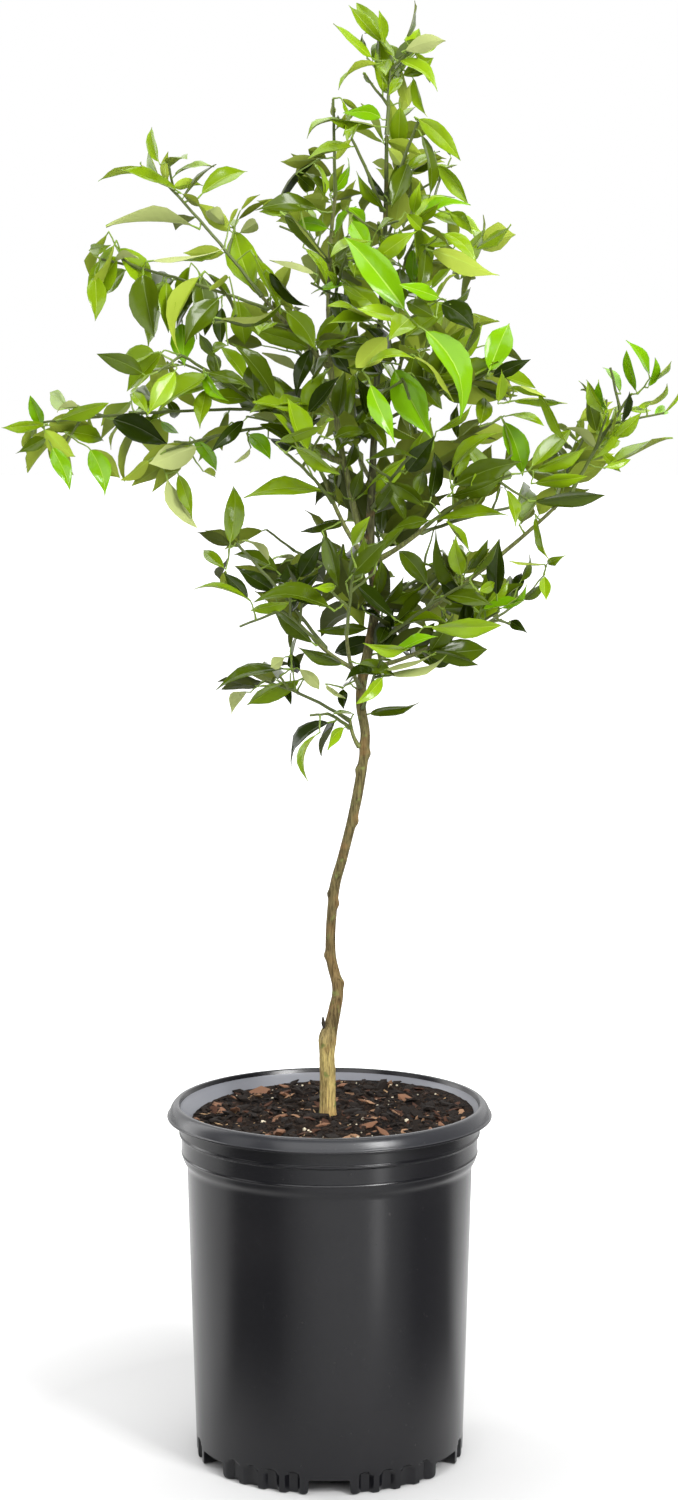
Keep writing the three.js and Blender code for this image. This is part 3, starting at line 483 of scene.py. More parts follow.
# Leaves that the photo shows one by one: foot, tip, breadth, bow and look
SEEN_LEAVES = {
    "right leader": """
375 60 335 22 11 2 f, 384 45 381 13 7 0 f, 405 40 416 1 6 -2 d, 402 52 446 41 17 3 yp, 396 60 439 82 13 4 f,
413 50 431 83 9 0 m, 381 64 336 84 9 -4 fp, 365 73 372 87 4 0 m, 401 68 408 106 9 0 fp, 412 76 419 114 8 2 f,
398 78 382 97 10 0 f, 402 76 390 93 9 0 m, 383 120 348 116 15 -6 y, 342 119 304 129 6 -3 m,
341 98 346 136 8 2 f, 380 127 330 122 4 -2 m, 360 124 346 142 5 0 m, 400 103 398 153 18 0 m,
414 117 456 158 17 6 f, 419 130 434 196 10 4 d, 384 140 422 152 12 0 fp, 387 146 404 166 12 0 fp,
434 163 464 203 12 4 f, 411 172 437 157 9 0 d, 398 162 389 200 9 0 d, 409 160 391 208 19 0 d,
387 198 364 166 8 0 k, 385 210 355 178 9 -2 m, 405 212 424 230 13 0 f, 413 215 418 186 12 0 f,
412 222 453 191 10 3 f, 415 224 463 197 9 3 y, 412 226 440 204 9 0 m, 447 213 472 234 13 5 f,
400 206 440 196 6 2 m""",
    "left leader": """
320 159 280 216 10 -14 k, 322 212 258 209 15 -5 d, 296 174 315 191 13 0 d, 313 162 327 198 9 3 f,
300 172 326 199 6 3 d, 330 195 356 161 11 0 y, 331 230 296 224 14 -3 y, 280 212 321 262 13 5 d,
334 237 350 204 9 0 y, 350 220 371 250 18 0 y, 347 206 370 226 14 0 y, 303 247 330 283 11 3 f,
348 284 310 289 10 0 y, 342 285 362 300 8 0 f, 336 286 329 271 7 0 f, 318 276 268 265 5 -6 mp""",
    "front": """
410 318 345 232 30 -2 y, 372 262 413 231 19 0 f, 414 246 411 287 12 0 y, 426 245 422 291 13 0 d,
426 249 494 281 22 4 fp, 441 233 474 258 13 4 f, 473 251 517 229 12 2 m, 442 299 400 284 15 0 y,
450 304 473 288 5 0 d, 438 303 474 328 24 4 k, 480 318 464 358 9 -3 d, 487 376 510 317 26 0 y,
490 377 527 361 14 0 k, 418 326 472 408 28 10 y, 391 363 430 437 33 0 y, 369 380 396 437 20 -3 y,
390 334 356 369 24 0 fp, 362 370 410 352 6 5 f, 408 353 447 406 8 10 f, 437 318 402 298 16 0 d,
430 290 450 268 6 0 m, 436 300 450 272 6 0 m""",
    "upper left": """
226 226 206 205 15 0 yp, 238 234 261 220 13 0 mp, 234 226 256 292 30 -3 f, 251 250 284 311 11 0 m,
266 270 298 313 12 4 k, 205 271 166 350 19 -6 fp, 143 269 152 336 30 -2 d, 166 278 167 328 16 0 m,
95 273 98 316 19 0 m, 89 250 108 247 11 0 m, 114 263 140 257 4 4 mp, 146 262 222 262 6 7 mp,
222 296 184 340 24 -3 d, 238 297 245 345 22 0 m, 182 320 184 366 24 0 y, 222 305 221 345 12 0 k,
160 165 149 126 10 0 f, 181 193 122 168 8 -2 m, 152 170 136 165 4 0 mp, 172 178 214 166 6 4 m,
198 198 250 168 14 4 m, 200 229 106 227 6 -7 mp, 146 376 97 355 18 -3 d, 177 368 149 412 20 0 f,
215 318 283 320 8 2 d""",
    "left": """
42 427 30 396 13 0 y, 48 424 3 429 9 -2 f, 47 437 20 452 13 0 d, 51 445 72 485 17 0 y, 88 447 107 491 21 3 y,
56 421 108 404 10 3 f, 64 432 108 440 17 2 m, 107 418 165 447 25 5 k, 202 446 150 472 26 -4 yp,
151 459 125 482 12 0 fp, 190 437 216 472 13 5 y, 166 474 196 529 15 -4 yp, 177 472 190 514 12 3 m,
207 387 198 424 17 0 m, 203 370 221 400 12 -3 y, 203 471 220 476 6 0 fp, 132 391 148 411 12 0 m,
165 398 176 424 10 3 d, 80 407 54 408 6 -2 mp, 160 420 178 436 10 0 y""",
    "middle left": """
276 402 232 342 17 -5 d, 247 384 217 343 15 -4 f, 228 345 208 351 8 0 m, 246 419 216 448 11 -2 k,
247 433 270 458 16 3 y, 314 352 252 335 15 -5 m, 312 346 293 391 16 0 k, 283 310 315 349 21 5 m,
300 371 262 352 8 0 mp, 251 448 235 465 3 0 mp, 333 494 248 491 10 -5 m, 351 521 302 538 12 -6 d,
292 446 334 477 13 4 m, 268 438 300 449 7 0 k, 276 443 322 427 9 3 m, 306 416 337 376 14 0 k,
252 400 205 395 12 0 m, 205 372 250 383 12 0 d""",
    "middle": """
338 420 343 374 14 0 d, 348 418 352 378 11 0 m, 351 432 373 401 13 0 m, 364 421 386 448 12 3 d,
332 440 366 431 10 3 d, 376 426 417 441 11 2 m, 366 460 413 449 9 -2 d, 358 498 411 456 12 3 f,
405 474 432 440 20 0 k, 430 502 441 450 14 0 k, 416 500 424 468 14 0 d, 383 480 425 508 14 5 d,
376 512 396 482 13 0 d, 381 536 384 498 12 0 d, 352 500 362 470 12 0 d, 345 470 358 440 12 0 d,
340 465 320 440 10 0 m""",
    "right": """
451 488 520 462 23 4 d, 449 474 492 430 13 4 m, 436 432 473 410 8 0 m, 458 440 456 405 7 0 d,
501 417 525 477 23 4 y, 507 387 545 400 7 5 f, 535 390 558 446 8 5 f, 509 402 568 409 7 5 f,
505 416 543 423 4 2 f, 498 404 503 372 10 0 f, 480 427 487 396 17 0 m, 528 471 571 430 15 0 m,
533 471 586 450 13 0 f, 531 484 585 479 10 3 f, 529 502 605 496 11 2 d, 447 497 500 483 9 0 d,
432 520 503 506 7 0 m, 597 434 588 398 12 0 d, 599 450 573 424 11 0 mp, 604 468 669 431 12 -2 m,
607 416 587 384 7 0 f, 608 412 598 380 7 0 y, 621 394 605 362 7 0 y, 637 394 625 352 7 0 y,
650 378 632 341 7 0 y, 648 388 658 360 9 0 y, 652 382 672 362 3 0 f, 646 406 672 388 4 0 f,
612 440 641 413 12 0 f, 622 424 630 392 7 0 k, 535 514 544 562 10 0 f, 505 488 516 523 8 2 m""",
    "low right": """
479 613 427 539 15 0 d, 470 552 446 521 9 0 m, 462 578 452 541 17 0 m, 466 572 488 543 11 0 d,
470 579 501 541 9 0 d, 497 599 499 541 16 0 k, 429 588 396 548 18 -3 d, 389 629 440 574 15 -3 d,
381 606 404 580 8 0 d, 441 596 491 605 13 3 d, 424 627 503 629 14 4 f, 388 629 452 617 12 5 m,
480 611 524 600 10 0 y, 500 609 530 589 9 0 y, 544 575 546 601 11 0 f, 547 564 560 557 8 0 m,
545 565 508 563 3 0 f, 478 592 498 583 11 0 m, 510 621 524 630 10 0 k, 382 671 438 660 8 2 mp,
384 675 450 668 5 2 mp, 422 652 478 666 11 4 d, 384 676 361 703 12 0 f, 366 715 419 711 12 5 d,
412 648 368 647 9 0 f, 390 655 430 631 8 0 y, 349 578 387 540 17 0 d, 396 620 350 577 14 0 k,
372 629 318 634 12 -3 d, 380 638 331 653 18 0 k, 386 626 378 643 12 0 k, 376 600 383 560 13 0 d,
383 578 397 573 7 0 fp, 440 580 470 606 18 0 k, 384 603 424 590 12 0 m""",
    "low left": """
229 549 236 484 19 -2 m, 226 569 202 546 11 2 m, 250 600 196 582 9 -3 m, 281 575 234 550 13 -3 d,
270 564 242 536 10 -3 mp, 276 592 238 569 15 0 k, 335 611 262 589 18 -5 d, 293 601 250 611 8 0 f,
336 586 318 588 8 0 f, 316 646 266 611 15 -2 d, 298 580 320 541 17 0 k, 322 531 335 585 15 3 d,
343 545 335 582 12 0 m, 300 561 270 556 5 0 mp, 345 666 300 652 11 -2 d, 291 669 216 680 10 -4 d,
305 678 246 706 14 -5 m, 251 692 232 714 9 -6 mp, 297 668 319 691 12 3 mp, 290 651 297 675 12 0 k,
285 657 269 668 12 0 mp, 280 683 291 699 8 0 k, 335 721 284 762 13 -7 k, 320 732 305 781 7 -8 f,
346 727 329 750 10 -4 f, 354 714 333 713 5 0 f, 343 688 343 708 10 0 k, 325 684 345 700 5 0 mp""",
}
RULE = GrowthRule()
FINER = FinerGrowth()
TRUNK_PATH = (
    (-1.5, -2, 288.35), (-1.5, -2, 322), (-1.9, -3, 350), (4.3, -1, 380), (6.6, 2, 399), (0.9, 5, 429),
    (3.8, 3, 480), (11.6, -2, 512), (23.0, -6, 561), (29.7, -4, 608), (26.1, 1, 647), (37.5, 4, 716),
    (33.6, 2, 772), (37.0, -2, 865), (45.2, 2, 1022), (46.6, 0, 1100),
)
TRUNK_RADII = (
    (288, 8.2), (296, 7.1), (318, 6.6), (342, 6.5), (354, 7.4), (368, 5.9), (392, 4.7), (430, 4.2),
    (600, 4.1), (760, 3.9), (860, 2.7), (1020, 2.1), (1100, 1.4),
)
BOUGHS = (
    Bough("leader_left", "trunk", 772, (5, 14, 1052), (-15, 8, 0), (2.9, 1.4)),
    Bough("bough_upper_left", "leader_left", 916, (-55, 4, 971), (2, 0, -3), (1.9, 1.4)),
    Bough("bough_left", "leader_left", 838, (-55, 22, 880), (0, 0, -3), (2, 1.5)),
    Bough("bough_left_rise", "trunk", 757, (-3, -26, 822), (-3, -3, 0), (2, 1.5)),
    Bough("bough_right", "trunk", 756, (79, -16, 785), (0, -1, -2), (2.3, 1.7)),
    Bough("bough_right_long", "trunk", 690, (196, -38, 814), (4, 6, -5), (2.3, 1.3)),
    Bough("bough_low_right", "trunk", 668, (90, -20, 690), (0, -2, -2), (2, 1.5)),
    Bough("bough_low_left", "trunk", 664, (-9, -10, 688), (0, 0, -2), (1.9, 1.5)),
    Bough("bough_bottom_left", "trunk", 603, (17, -6, 624), (-1, 0, -1), (1.7, 1.4)),
    Bough("bough_upper_right", "trunk", 964, (62, -13, 1000), (2, -1, -2), (1.7, 1.3)),
    Bough("bough_front", "trunk", 880, (58, -62, 920), (2, -3, -4), (1.9, 1.4)),
    Bough("bough_back", "trunk", 822, (14, 78, 868), (0, 4, -4), (1.9, 1.4)),
    Bough("bough_low_back", "trunk", 700, (44, 80, 744), (2, 3, -4), (2, 1.5)),
    Bough("bough_low_front", "trunk", 652, (14, -60, 700), (-2, -3, -3), (1.9, 1.4)),
)
MASSES = (
    # The leader on the right
    Mass(
        "leaves_top", "trunk", TIP, (50, -4, 1164), 2,
        twigs=3, twig=46, leaf=62, gap=16, slim=0.34, hang=-0.2,
    ),
    Mass("leaves_top_right", "trunk", 1046, (76, -24, 1120), 15, leaf=66, hang=0.6),
    Mass("leaves_top_left", "trunk", 1040, (18, -20, 1096), 9, twigs=1, leaf=66),
    Mass("leaves_top_back", "trunk", 1014, (70, 50, 1078), 11, leaf=64, gap=18),
    Mass("leaves_top_front", "trunk", 990, (38, -66, 1040), 44, leaf=80),
    # The leader on the left
    Mass(
        "leaves_left_head", "leader_left", TIP, (3, 8, 1136), 4,
        twigs=1, twig=34, leaf=46, gap=24, slim=0.32,
    ),
    Mass("leaves_left_crest", "leader_left", 1000, (-34, -24, 1036), 21, leaf=84, hang=0.9),
    Mass("leaves_left_rear", "leader_left", 984, (-16, 64, 1024), 8, leaf=72, gap=18),
    Mass("leaves_left_front", "leader_left", 952, (14, -64, 1002), 2, twig=42, hang=0.3),
    Mass("leaves_left_inner", "leader_left", 880, (-28, 64, 930), 12, gap=18),
    # Left side of the crown
    Mass("leaves_upper_left_high", "bough_upper_left", TIP, (-140, 30, 1070), 1, leaf=60, slim=0.34, gap=16),
    Mass("leaves_upper_left_low", "bough_upper_left", 963, (-184, -22, 1000), 17, leaf=94, gap=20, hang=1.8),
    Mass("leaves_upper_left_mid", "bough_upper_left", 948, (-92, -70, 948), 24, leaf=90, hang=0.9),
    Mass("leaves_far_left", "bough_left", TIP, (-260, 44, 866), 10, twigs=3, leaf=76, gap=21, hang=0.5),
    Mass("leaves_left", "bough_left", 874, (-128, -46, 928), 13, twigs=3),
    Mass("leaves_left_low", "bough_left", 868, (-134, 2, 846), 14, leaf=84, hang=1.2),
    Mass("leaves_left_middle", "bough_left_rise", TIP, (-36, -30, 876), 15, twigs=3),
    Mass("leaves_centre_left", "bough_left_rise", 806, (-34, -96, 846), 42, leaf=74, hang=0.4),
    # Middle and right side of the crown
    Mass("leaves_upper_right", "bough_upper_right", TIP, (84, -38, 1040), 16, twigs=2, leaf=64),
    Mass("leaves_upper_right_side", "bough_upper_right", 994, (116, 24, 1000), 17, leaf=74),
    Mass("leaves_front", "bough_front", TIP, (60, -124, 954), 18, twigs=2, twig=40, leaf=94),
    Mass("leaves_front_low", "bough_front", 911, (64, -114, 884), 19, twig=40, leaf=92, hang=0.7),
    Mass("leaves_right_rear", "trunk", 896, (118, 62, 930), 20, leaf=82, twigs=3, gap=18),
    Mass("leaves_right", "trunk", 868, (138, -52, 912), 21, leaf=80),
    Mass("leaves_centre_front", "trunk", 800, (70, -86, 850), 22, leaf=84),
    Mass("leaves_right_limb_high", "bough_right", TIP, (146, -50, 828), 23, twigs=3, leaf=82, hang=0.1),
    Mass("leaves_right_limb_low", "bough_right", 780, (168, 16, 802), 24, twigs=3, leaf=74),
    Mass(
        "leaves_far_right", "bough_right_long", TIP, (242, -52, 892), 25,
        twigs=4, leaf=50, slim=0.3, hang=-0.3,
    ),
    Mass("leaves_far_right_rear", "bough_right_long", 800, (200, 30, 838), 26, leaf=66),
    # Lower crown
    Mass("leaves_low_right_front", "trunk", 684, (112, -84, 744), 27, twigs=3, hang=-0.4),
    Mass("leaves_low_right_rear", "trunk", 718, (104, 62, 752), 28, twigs=3, gap=18),
    Mass("leaves_low_right", "bough_low_right", TIP, (154, -30, 712), 19, twigs=3, leaf=62, gap=16,
         spread=0.6, hang=-0.4),
    Mass("leaves_trunk_right", "trunk", 620, (66, -10, 640), 30, twigs=0, leaf=66, bare=4, gap=8),
    Mass("leaves_low_centre", "trunk", 634, (44, -66, 684), 43, leaf=74),
    Mass("leaves_bottom_left", "bough_bottom_left", TIP, (-54, 26, 654), 31, leaf=60),
    Mass("leaves_bottom_front", "bough_bottom_left", 619, (-12, -38, 636), 8, twigs=1, leaf=56, hang=1.2),
    Mass("leaves_low_left", "bough_low_left", TIP, (-46, -38, 722), 25, twigs=3, leaf=66),
    Mass("leaves_low_left_far", "bough_low_left", 683, (-84, 24, 776), 34, twigs=1, leaf=52, gap=18,
         slim=0.32, hang=-0.6),
    Mass("leaves_low_front", "bough_low_front", TIP, (20, -96, 758), 35, twigs=3),
    Mass("leaves_low_back", "bough_low_back", TIP, (40, 100, 780), 36, gap=15),
    Mass("leaves_low_back_left", "trunk", 728, (-36, 82, 762), 37, gap=17),
    # Behind
    Mass("leaves_back", "bough_back", TIP, (6, 116, 902), 38, twigs=3, gap=17),
    Mass("leaves_back_right", "trunk", 812, (96, 92, 862), 39, gap=18),
)


@dataclass
class Limb:
    """A limb that is placed: its curve, its radius along it and the stretches that leaves keep clear of."""

    curve: Curve
    rings: int
    radius_at: Callable[[float], float]
    host_centre: Array | None = None

    def __post_init__(self) -> None:
        """Cuts the stretches."""
        self.path = Path(self.curve.points(self.rings), self.radius_at)


@dataclass
class Shoot:
    """A stem or twig that carries leaves."""

    curve: Curve
    length: float
    radii: Pair
    bare: float
    root: Array
    mass: int = 0
    parent: int = -1  # the number of the shoot that carries it, or -1 for a limb
    number: int = field(default_factory=itertools.count().__next__)


@dataclass
class Leaf:
    """A leaf on its shoot: where it starts, the directions it lies in, and its measures."""

    base: Array
    heading: Array
    side: Array
    face: Array
    length: float
    width: float
    arch: float
    mass: int = 0
    shoot: int = 0  # the number of the shoot that it is on
    bow: Array = field(default_factory=lambda: np.zeros(3))  # how far its middle is off the straight
    # Its tone also carries painted light and shade.
    look: str = ""  # its tone where the photo shows it

    def __post_init__(self) -> None:
        """Samples the blade for the spacing rules: rows from the foot on, of five points each."""
        rows = np.repeat(np.arange(1, RULE.sample_rows + 1) / RULE.sample_rows, 5)
        across = np.tile(np.arange(-2, 3) / 2, RULE.sample_rows)
        half = (self.width / 2) * np.sin(np.pi * rows**0.85) * across
        rise = -self.arch * self.length * rows * rows
        points = self.base + self.heading * (self.length * rows)[:, None]
        points = points + self.bow * (4 * rows * (1 - rows))[:, None]
        self.samples = points + self.side * half[:, None] + self.face * rise[:, None]
        self.outer = self.samples[RULE.foot_samples :]

    def is_near(self, place: Array) -> bool:
        """Whether the middle of the blade is near enough to a place to be worth measuring."""
        return np.abs(self.samples[RULE.middle_sample] - place).max() < FINER.look_round


# Growth


class Growth:
    """Grows the limbs, twigs and leaves of the crown, first as the solids have them and then finer."""

    def __init__(self) -> None:
        """Places the trunk, the boughs and the stem of each mass."""
        curve = FlowingCurve(np.array(TRUNK_PATH, float))
        heights, radii = zip(*TRUNK_RADII)

        def radius_at(share: float) -> float:
            """The trunk's radius at a share of its length."""
            return float(np.interp(curve.point(share)[2], heights, radii))

        self.limbs = {"trunk": Limb(curve, 2 * (len(TRUNK_PATH) - 1), radius_at)}
        for bough in BOUGHS:
            self.limbs[bough.name] = self.grow_bough(bough)
        self.limb_path = Path.joined([limb.path for limb in self.limbs.values()])
        self.stems = [self.grow_stem(mass) for mass in MASSES]
        spaces = [self.space_of(mass, stem) for mass, stem in zip(MASSES, self.stems)]
        self.stretches = len(spaces[0].squares)
        self.space_path = Path.joined(spaces)
        self.shoots: list[Shoot] = []
        self.leaves: list[Leaf] = []

    def bowed_from(self, plan: Bough | Mass, radius: float) -> tuple[Curve, Array]:
        """The curve of a bough or stem, which starts clear of the side or of the cut end of its host.

        Args:
            plan: The bough or mass.
            radius: Its radius at the foot.

        Returns:
            The curve, and the middle of the host at its foot.
        """
        host = self.limbs[plan.on]
        share = 1.0 if plan.at == TIP else host.curve.share_at(plan.at)
        end, bend = np.array(plan.tip, float), np.array(plan.bow, float)
        centre, tangent = host.curve.point(share), host.curve.tangent(share)
        reach = unit((centre + end) * 0.5 + bend * 2 - centre)
        lean = min(max(float(reach @ tangent), -1.0), 1.0)
        tilt = math.sqrt(1 - lean * lean)
        host_radius = host.radius_at(share)
        beside = host_radius + RULE.seat_gap + radius * abs(lean) + host_radius * 0.04
        if share < 1:
            foot = centre + unit(reach - tangent * lean) * beside
        else:
            past_end = (RULE.seat_gap + radius * tilt) / max(lean, 1e-3)
            foot = centre + reach * min(past_end, beside / max(tilt, 1e-3))
        return BowedCurve(foot, end, bend), centre

    def grow_bough(self, bough: Bough) -> Limb:
        """A bough on its host."""
        curve, centre = self.bowed_from(bough, bough.radii[0])
        rings = max(4, math.floor(curve.length() / RULE.ring_step + 0.5))
        return Limb(curve, rings, lambda share: between(*bough.radii, share), centre)

    def grow_stem(self, mass: Mass) -> Shoot:
        """The stem of a mass."""
        curve, centre = self.bowed_from(mass, RULE.stem_radii[0])
        return Shoot(curve, curve.length(), RULE.stem_radii, mass.bare, centre)

    @staticmethod
    def space_of(mass: Mass, stem: Shoot) -> Path:
        """The path that a mass keeps nearest to: its stem, drawn on past the tip."""
        points = stem.curve.points(5)
        return Path(np.vstack([points, points[-1] + stem.curve.tangent(1) * mass.leaf * 0.5]))

    def is_clear(self, points: Array, index: int, clearance: float, margin: float) -> bool:
        """Whether points keep to a mass's own space and clear of the limbs.

        Args:
            points: The places.
            index: Which mass they belong to.
            clearance: How far they stay from a limb.
            margin: How much nearer they are to their own stem than to another.

        Returns:
            True if all of them do.
        """
        gaps = self.space_path.distances(points).reshape(len(points), -1, self.stretches).min(2)
        limit = gaps[:, index] + margin
        gaps[:, index] = np.inf
        if (gaps < limit[:, None]).any():
            return False
        return bool((self.limb_path.distances(points) > self.limb_path.radii + clearance).all())

    @staticmethod
    def is_apart(leaf: Leaf, others: Sequence[Leaf], clearance: float) -> bool:
        """Whether a leaf, past its foot, keeps off the leaves already there."""
        if not others:
            return True
        placed = np.concatenate([other.outer for other in others])
        return bool((((leaf.outer[:, None] - placed[None]) ** 2).sum(2) > clearance**2).all())

    @staticmethod
    def roll_leaf(
        shoot: Shoot, along: float, turn: float, attempt: int, numbers: SeededNumbers, scale: float
    ) -> Leaf:
        """One roll of a leaf: its lean from the shoot, its droop, its size and its twist.

        Args:
            shoot: The shoot that carries it.
            along: Where on the shoot it starts.
            turn: Its turn round the shoot.
            attempt: How many rolls came before this one.
            numbers: The stream of numbers to draw from.
            scale: Its size as a share of the mass's leaves.

        Returns:
            The leaf.
        """
        mass = MASSES[shoot.mass]
        tangent = shoot.curve.tangent(along)
        lean = numbers.between(*RULE.lean) * (RULE.tip_lean if along == 1 else 1)
        out = outward_from(tangent, turn + numbers.between(*RULE.leaf_turn) + attempt * RULE.leaf_retry)
        heading = tangent * math.cos(lean) + out * math.sin(lean)
        heading[2] -= mass.hang * numbers.between(*RULE.droop)
        heading = unit(heading)
        reach, depth, up = RULE.outlook
        outlook = np.array([mass.tip[0] / reach, -depth if mass.tip[1] < 0 else depth, up])
        side = unit(cross(heading, tangent * 0.3 + outlook + out * numbers.between(*RULE.leaf_turn)))
        face = cross(side, heading)
        twist = numbers.between(*RULE.twist)
        side = unit(side * math.cos(twist) + face * math.sin(twist))
        face = cross(side, heading)
        swell = 0.74 + 0.32 * math.sin(math.pi * min(along * 1.1, 1))
        length = mass.leaf * scale * swell * numbers.between(*RULE.length_spread)
        length *= 1 - RULE.shrink * attempt
        width = length * mass.slim * numbers.between(*RULE.width_spread)
        arch = numbers.between(*RULE.arch)
        base = shoot.curve.point(along)
        return Leaf(base, heading, side, face, length, width, arch, shoot.mass, shoot.number)

    def add_leaf(
        self, kept: list[Leaf], fits: Callable[[Leaf], bool], tries: int, shoot: Shoot, along: float,
        turn: float, numbers: SeededNumbers, scale: Callable[[], float] = lambda: 1.0,
    ) -> None:
        """Adds the first roll of a leaf that fits, if any does.

        Args:
            kept: The leaves so far, to which it is added.
            fits: Whether a leaf fits.
            tries: How many rolls it gets.
            shoot: The shoot that carries it.
            along: Where on the shoot it starts.
            turn: Its turn round the shoot.
            numbers: The stream of numbers to draw from.
            scale: Gives its size for each roll, as a share of the mass's leaves.
        """
        rolls = (self.roll_leaf(shoot, along, turn, i, numbers, scale()) for i in range(tries))
        kept += list(itertools.islice(filter(fits, rolls), 1))

    def grow_twigs(self, stem: Shoot, index: int, numbers: SeededNumbers) -> list[Shoot]:
        """The side twigs of a stem that fit.

        Args:
            stem: The stem of the mass.
            index: Which mass it is.
            numbers: The mass's stream of numbers.

        Returns:
            The twigs.
        """
        mass = MASSES[index]
        twigs = []
        for i in range(mass.twigs):
            along = between(*RULE.twig_places, (i + numbers.draw()) / mass.twigs)
            tangent = stem.curve.tangent(along)
            for attempt in range(RULE.tries):
                turn = i * GOLDEN_TURN + attempt * RULE.twig_retry + numbers.between(*RULE.twig_turn)
                out = outward_from(tangent, turn)
                lean = mass.spread * numbers.between(*RULE.twig_spread)
                heading = tangent * math.cos(lean) + out * math.sin(lean)
                length = mass.twig * numbers.between(*RULE.twig_lengths) * (1 - RULE.twig_taper * along)
                length *= 1 - RULE.twig_shrink * attempt
                foot = stem.curve.point(along)
                tip = foot + heading * length
                tip[2] -= mass.hang * length * RULE.twig_sag
                curve = StraightCurve(foot, tip)
                if self.is_clear(curve.points(6)[1:], index, RULE.twig_clearance, RULE.space_margin):
                    twig = Shoot(curve, length, RULE.twig_radii, RULE.twig_bare, foot, parent=stem.number)
                    twigs.append(twig)
                    break
        return twigs

    def grow_leaves(self, shoot: Shoot, numbers: SeededNumbers, grown: list[Leaf]) -> None:
        """Adds the leaves along a shoot that fit.

        Args:
            shoot: The shoot that carries them.
            numbers: The mass's stream of numbers.
            grown: The mass's leaves so far, to which they are added.
        """

        def fits(leaf: Leaf) -> bool:
            """Whether a leaf keeps to its space and off the mass's other leaves."""
            clear = self.is_clear(leaf.samples, shoot.mass, RULE.limb_clearance, RULE.space_margin)
            return clear and self.is_apart(leaf, grown, RULE.leaf_clearance)

        count = max(1, math.floor((shoot.length - shoot.bare) / MASSES[shoot.mass].gap + 0.5))
        for i in range(count + 1):
            along = between(shoot.bare / shoot.length, 1, i / count)
            self.add_leaf(grown, fits, RULE.tries, shoot, along, i * GOLDEN_TURN, numbers)

    def grow(self) -> None:
        """Grows every mass as the solids have it, fits it to the photo, and carries it on to finer twigs."""
        coarse: list[Leaf] = []
        for index, (mass, stem) in enumerate(zip(MASSES, self.stems)):
            numbers = SeededNumbers(mass.seed)
            shoots = [stem, *self.grow_twigs(stem, index, numbers)]
            grown: list[Leaf] = []
            for shoot in shoots:
                shoot.mass = index
                self.grow_leaves(shoot, numbers, grown)
            self.shoots += shoots
            coarse += grown
        LOG.info("crown as the solids have it: %d shoots, %d leaves", len(self.shoots), len(coarse))
        self.place_seen_leaves()
        LOG.info("leaves that the photo shows one by one: %d", len(self.leaves))
        self.leaves += [leaf for leaf in coarse if self.has_room(leaf)]
        self.carry_on()
        LOG.info("carried on to finer twigs: %d shoots, %d leaves", len(self.shoots), len(self.leaves))

    def place_seen_leaves(self) -> None:
        """Places every leaf that the photo shows by itself on the nearest limb, shoot or new twig."""
        numbers = SeededNumbers(FINER.seen_seed)
        places = np.concatenate([limb.curve.points(70) for limb in self.limbs.values()])
        owners = [-1] * len(places)
        for shoot in self.shoots:
            places = np.vstack([places, shoot.curve.points(12)])
            owners += [shoot.number] * 13
        for part, text in SEEN_LEAVES.items():
            foremost = part == "front"
            for seen in SeenLeaf.read(text):
                off = np.hypot(*(VIEW.pixels(places) - np.array(seen.foot)).T)
                nearest = int((off + places[:, 1] * FINER.front_first[foremost]).argmin())
                depth = places[nearest, 1] + numbers.between(-5, 1) - FINER.forward[foremost]
                foot = VIEW.point(*seen.foot, max(depth, self.nearest_depth() + FINER.overhang))
                twig = self.twig_to(foot, places[nearest], numbers)
                twig.parent = owners[nearest]
                self.shoots.append(twig)
                places = np.vstack([places, twig.curve.points(4)])
                owners += [twig.number] * 5
                self.leaves.append(self.leaf_as_seen(seen, foot, twig, numbers))
        self.paint_cover()

    @staticmethod
    def nearest_depth() -> float:
        """How near to the camera the solids reach."""
        return CAD_BOX[0][1] / METRE

    def twig_to(self, foot: Array, carrier: Array, numbers: SeededNumbers) -> Shoot:
        """A fine twig from the limb or shoot that carries it to the foot of a leaf."""
        length = float(np.linalg.norm(foot - carrier))
        turn = numbers.between(*FINER.any_turn)
        sag = outward_from(unit(foot - carrier + UP * 1e-3), turn) * FINER.sag * length
        curve = BowedCurve(carrier, foot, sag)
        return Shoot(curve, length, FINER.twig_radii, 0, carrier, self.nearest_mass(foot))

    @staticmethod
    def leaf_as_seen(seen: SeenLeaf, foot: Array, twig: Shoot, numbers: SeededNumbers) -> Leaf:
        """A leaf whose foot, tip, breadth and bend look as they do in the photo.

        Args:
            seen: How the photo shows it.
            foot: Where it starts.
            twig: The twig that carries it.
            numbers: The stream of numbers that its depth and its turn are drawn from.

        Returns:
            The leaf.
        """
        flat = VIEW.point(*seen.tip, foot[1]) - foot
        shown = float(np.linalg.norm(flat))
        scale = shown / math.hypot(seen.tip[0] - seen.foot[0], seen.tip[1] - seen.foot[1])
        usual = between(shown, FINER.usual_length, FINER.usual_share)
        full = max(shown * numbers.between(*FINER.foreshortened), usual)
        depth = math.sqrt(full**2 - shown**2)
        if numbers.draw() < FINER.lean_near and foot[1] - depth > Growth.nearest_depth():
            depth = -depth
        heading = VIEW.point(*seen.tip, foot[1] + depth) - foot
        length = float(np.linalg.norm(heading))
        heading = heading / length
        lens = unit(np.array(VIEW.place) - foot)
        side = unit(cross(heading, lens))
        face = cross(side, heading)
        breadth = seen.breadth * scale * FINER.broader
        width = max(breadth, min(FINER.slimmest * length, FINER.broad))
        roll = math.acos(breadth / width) * (1 if numbers.draw() < 0.5 else -1)
        side = side * math.cos(roll) + face * math.sin(roll)
        if seen.look.endswith("p"):
            side = -side
        face = cross(side, heading)
        bow = unit(cross(lens, heading)) * seen.bow * scale
        bow = bow + face * length * numbers.between(*FINER.seen_bow)
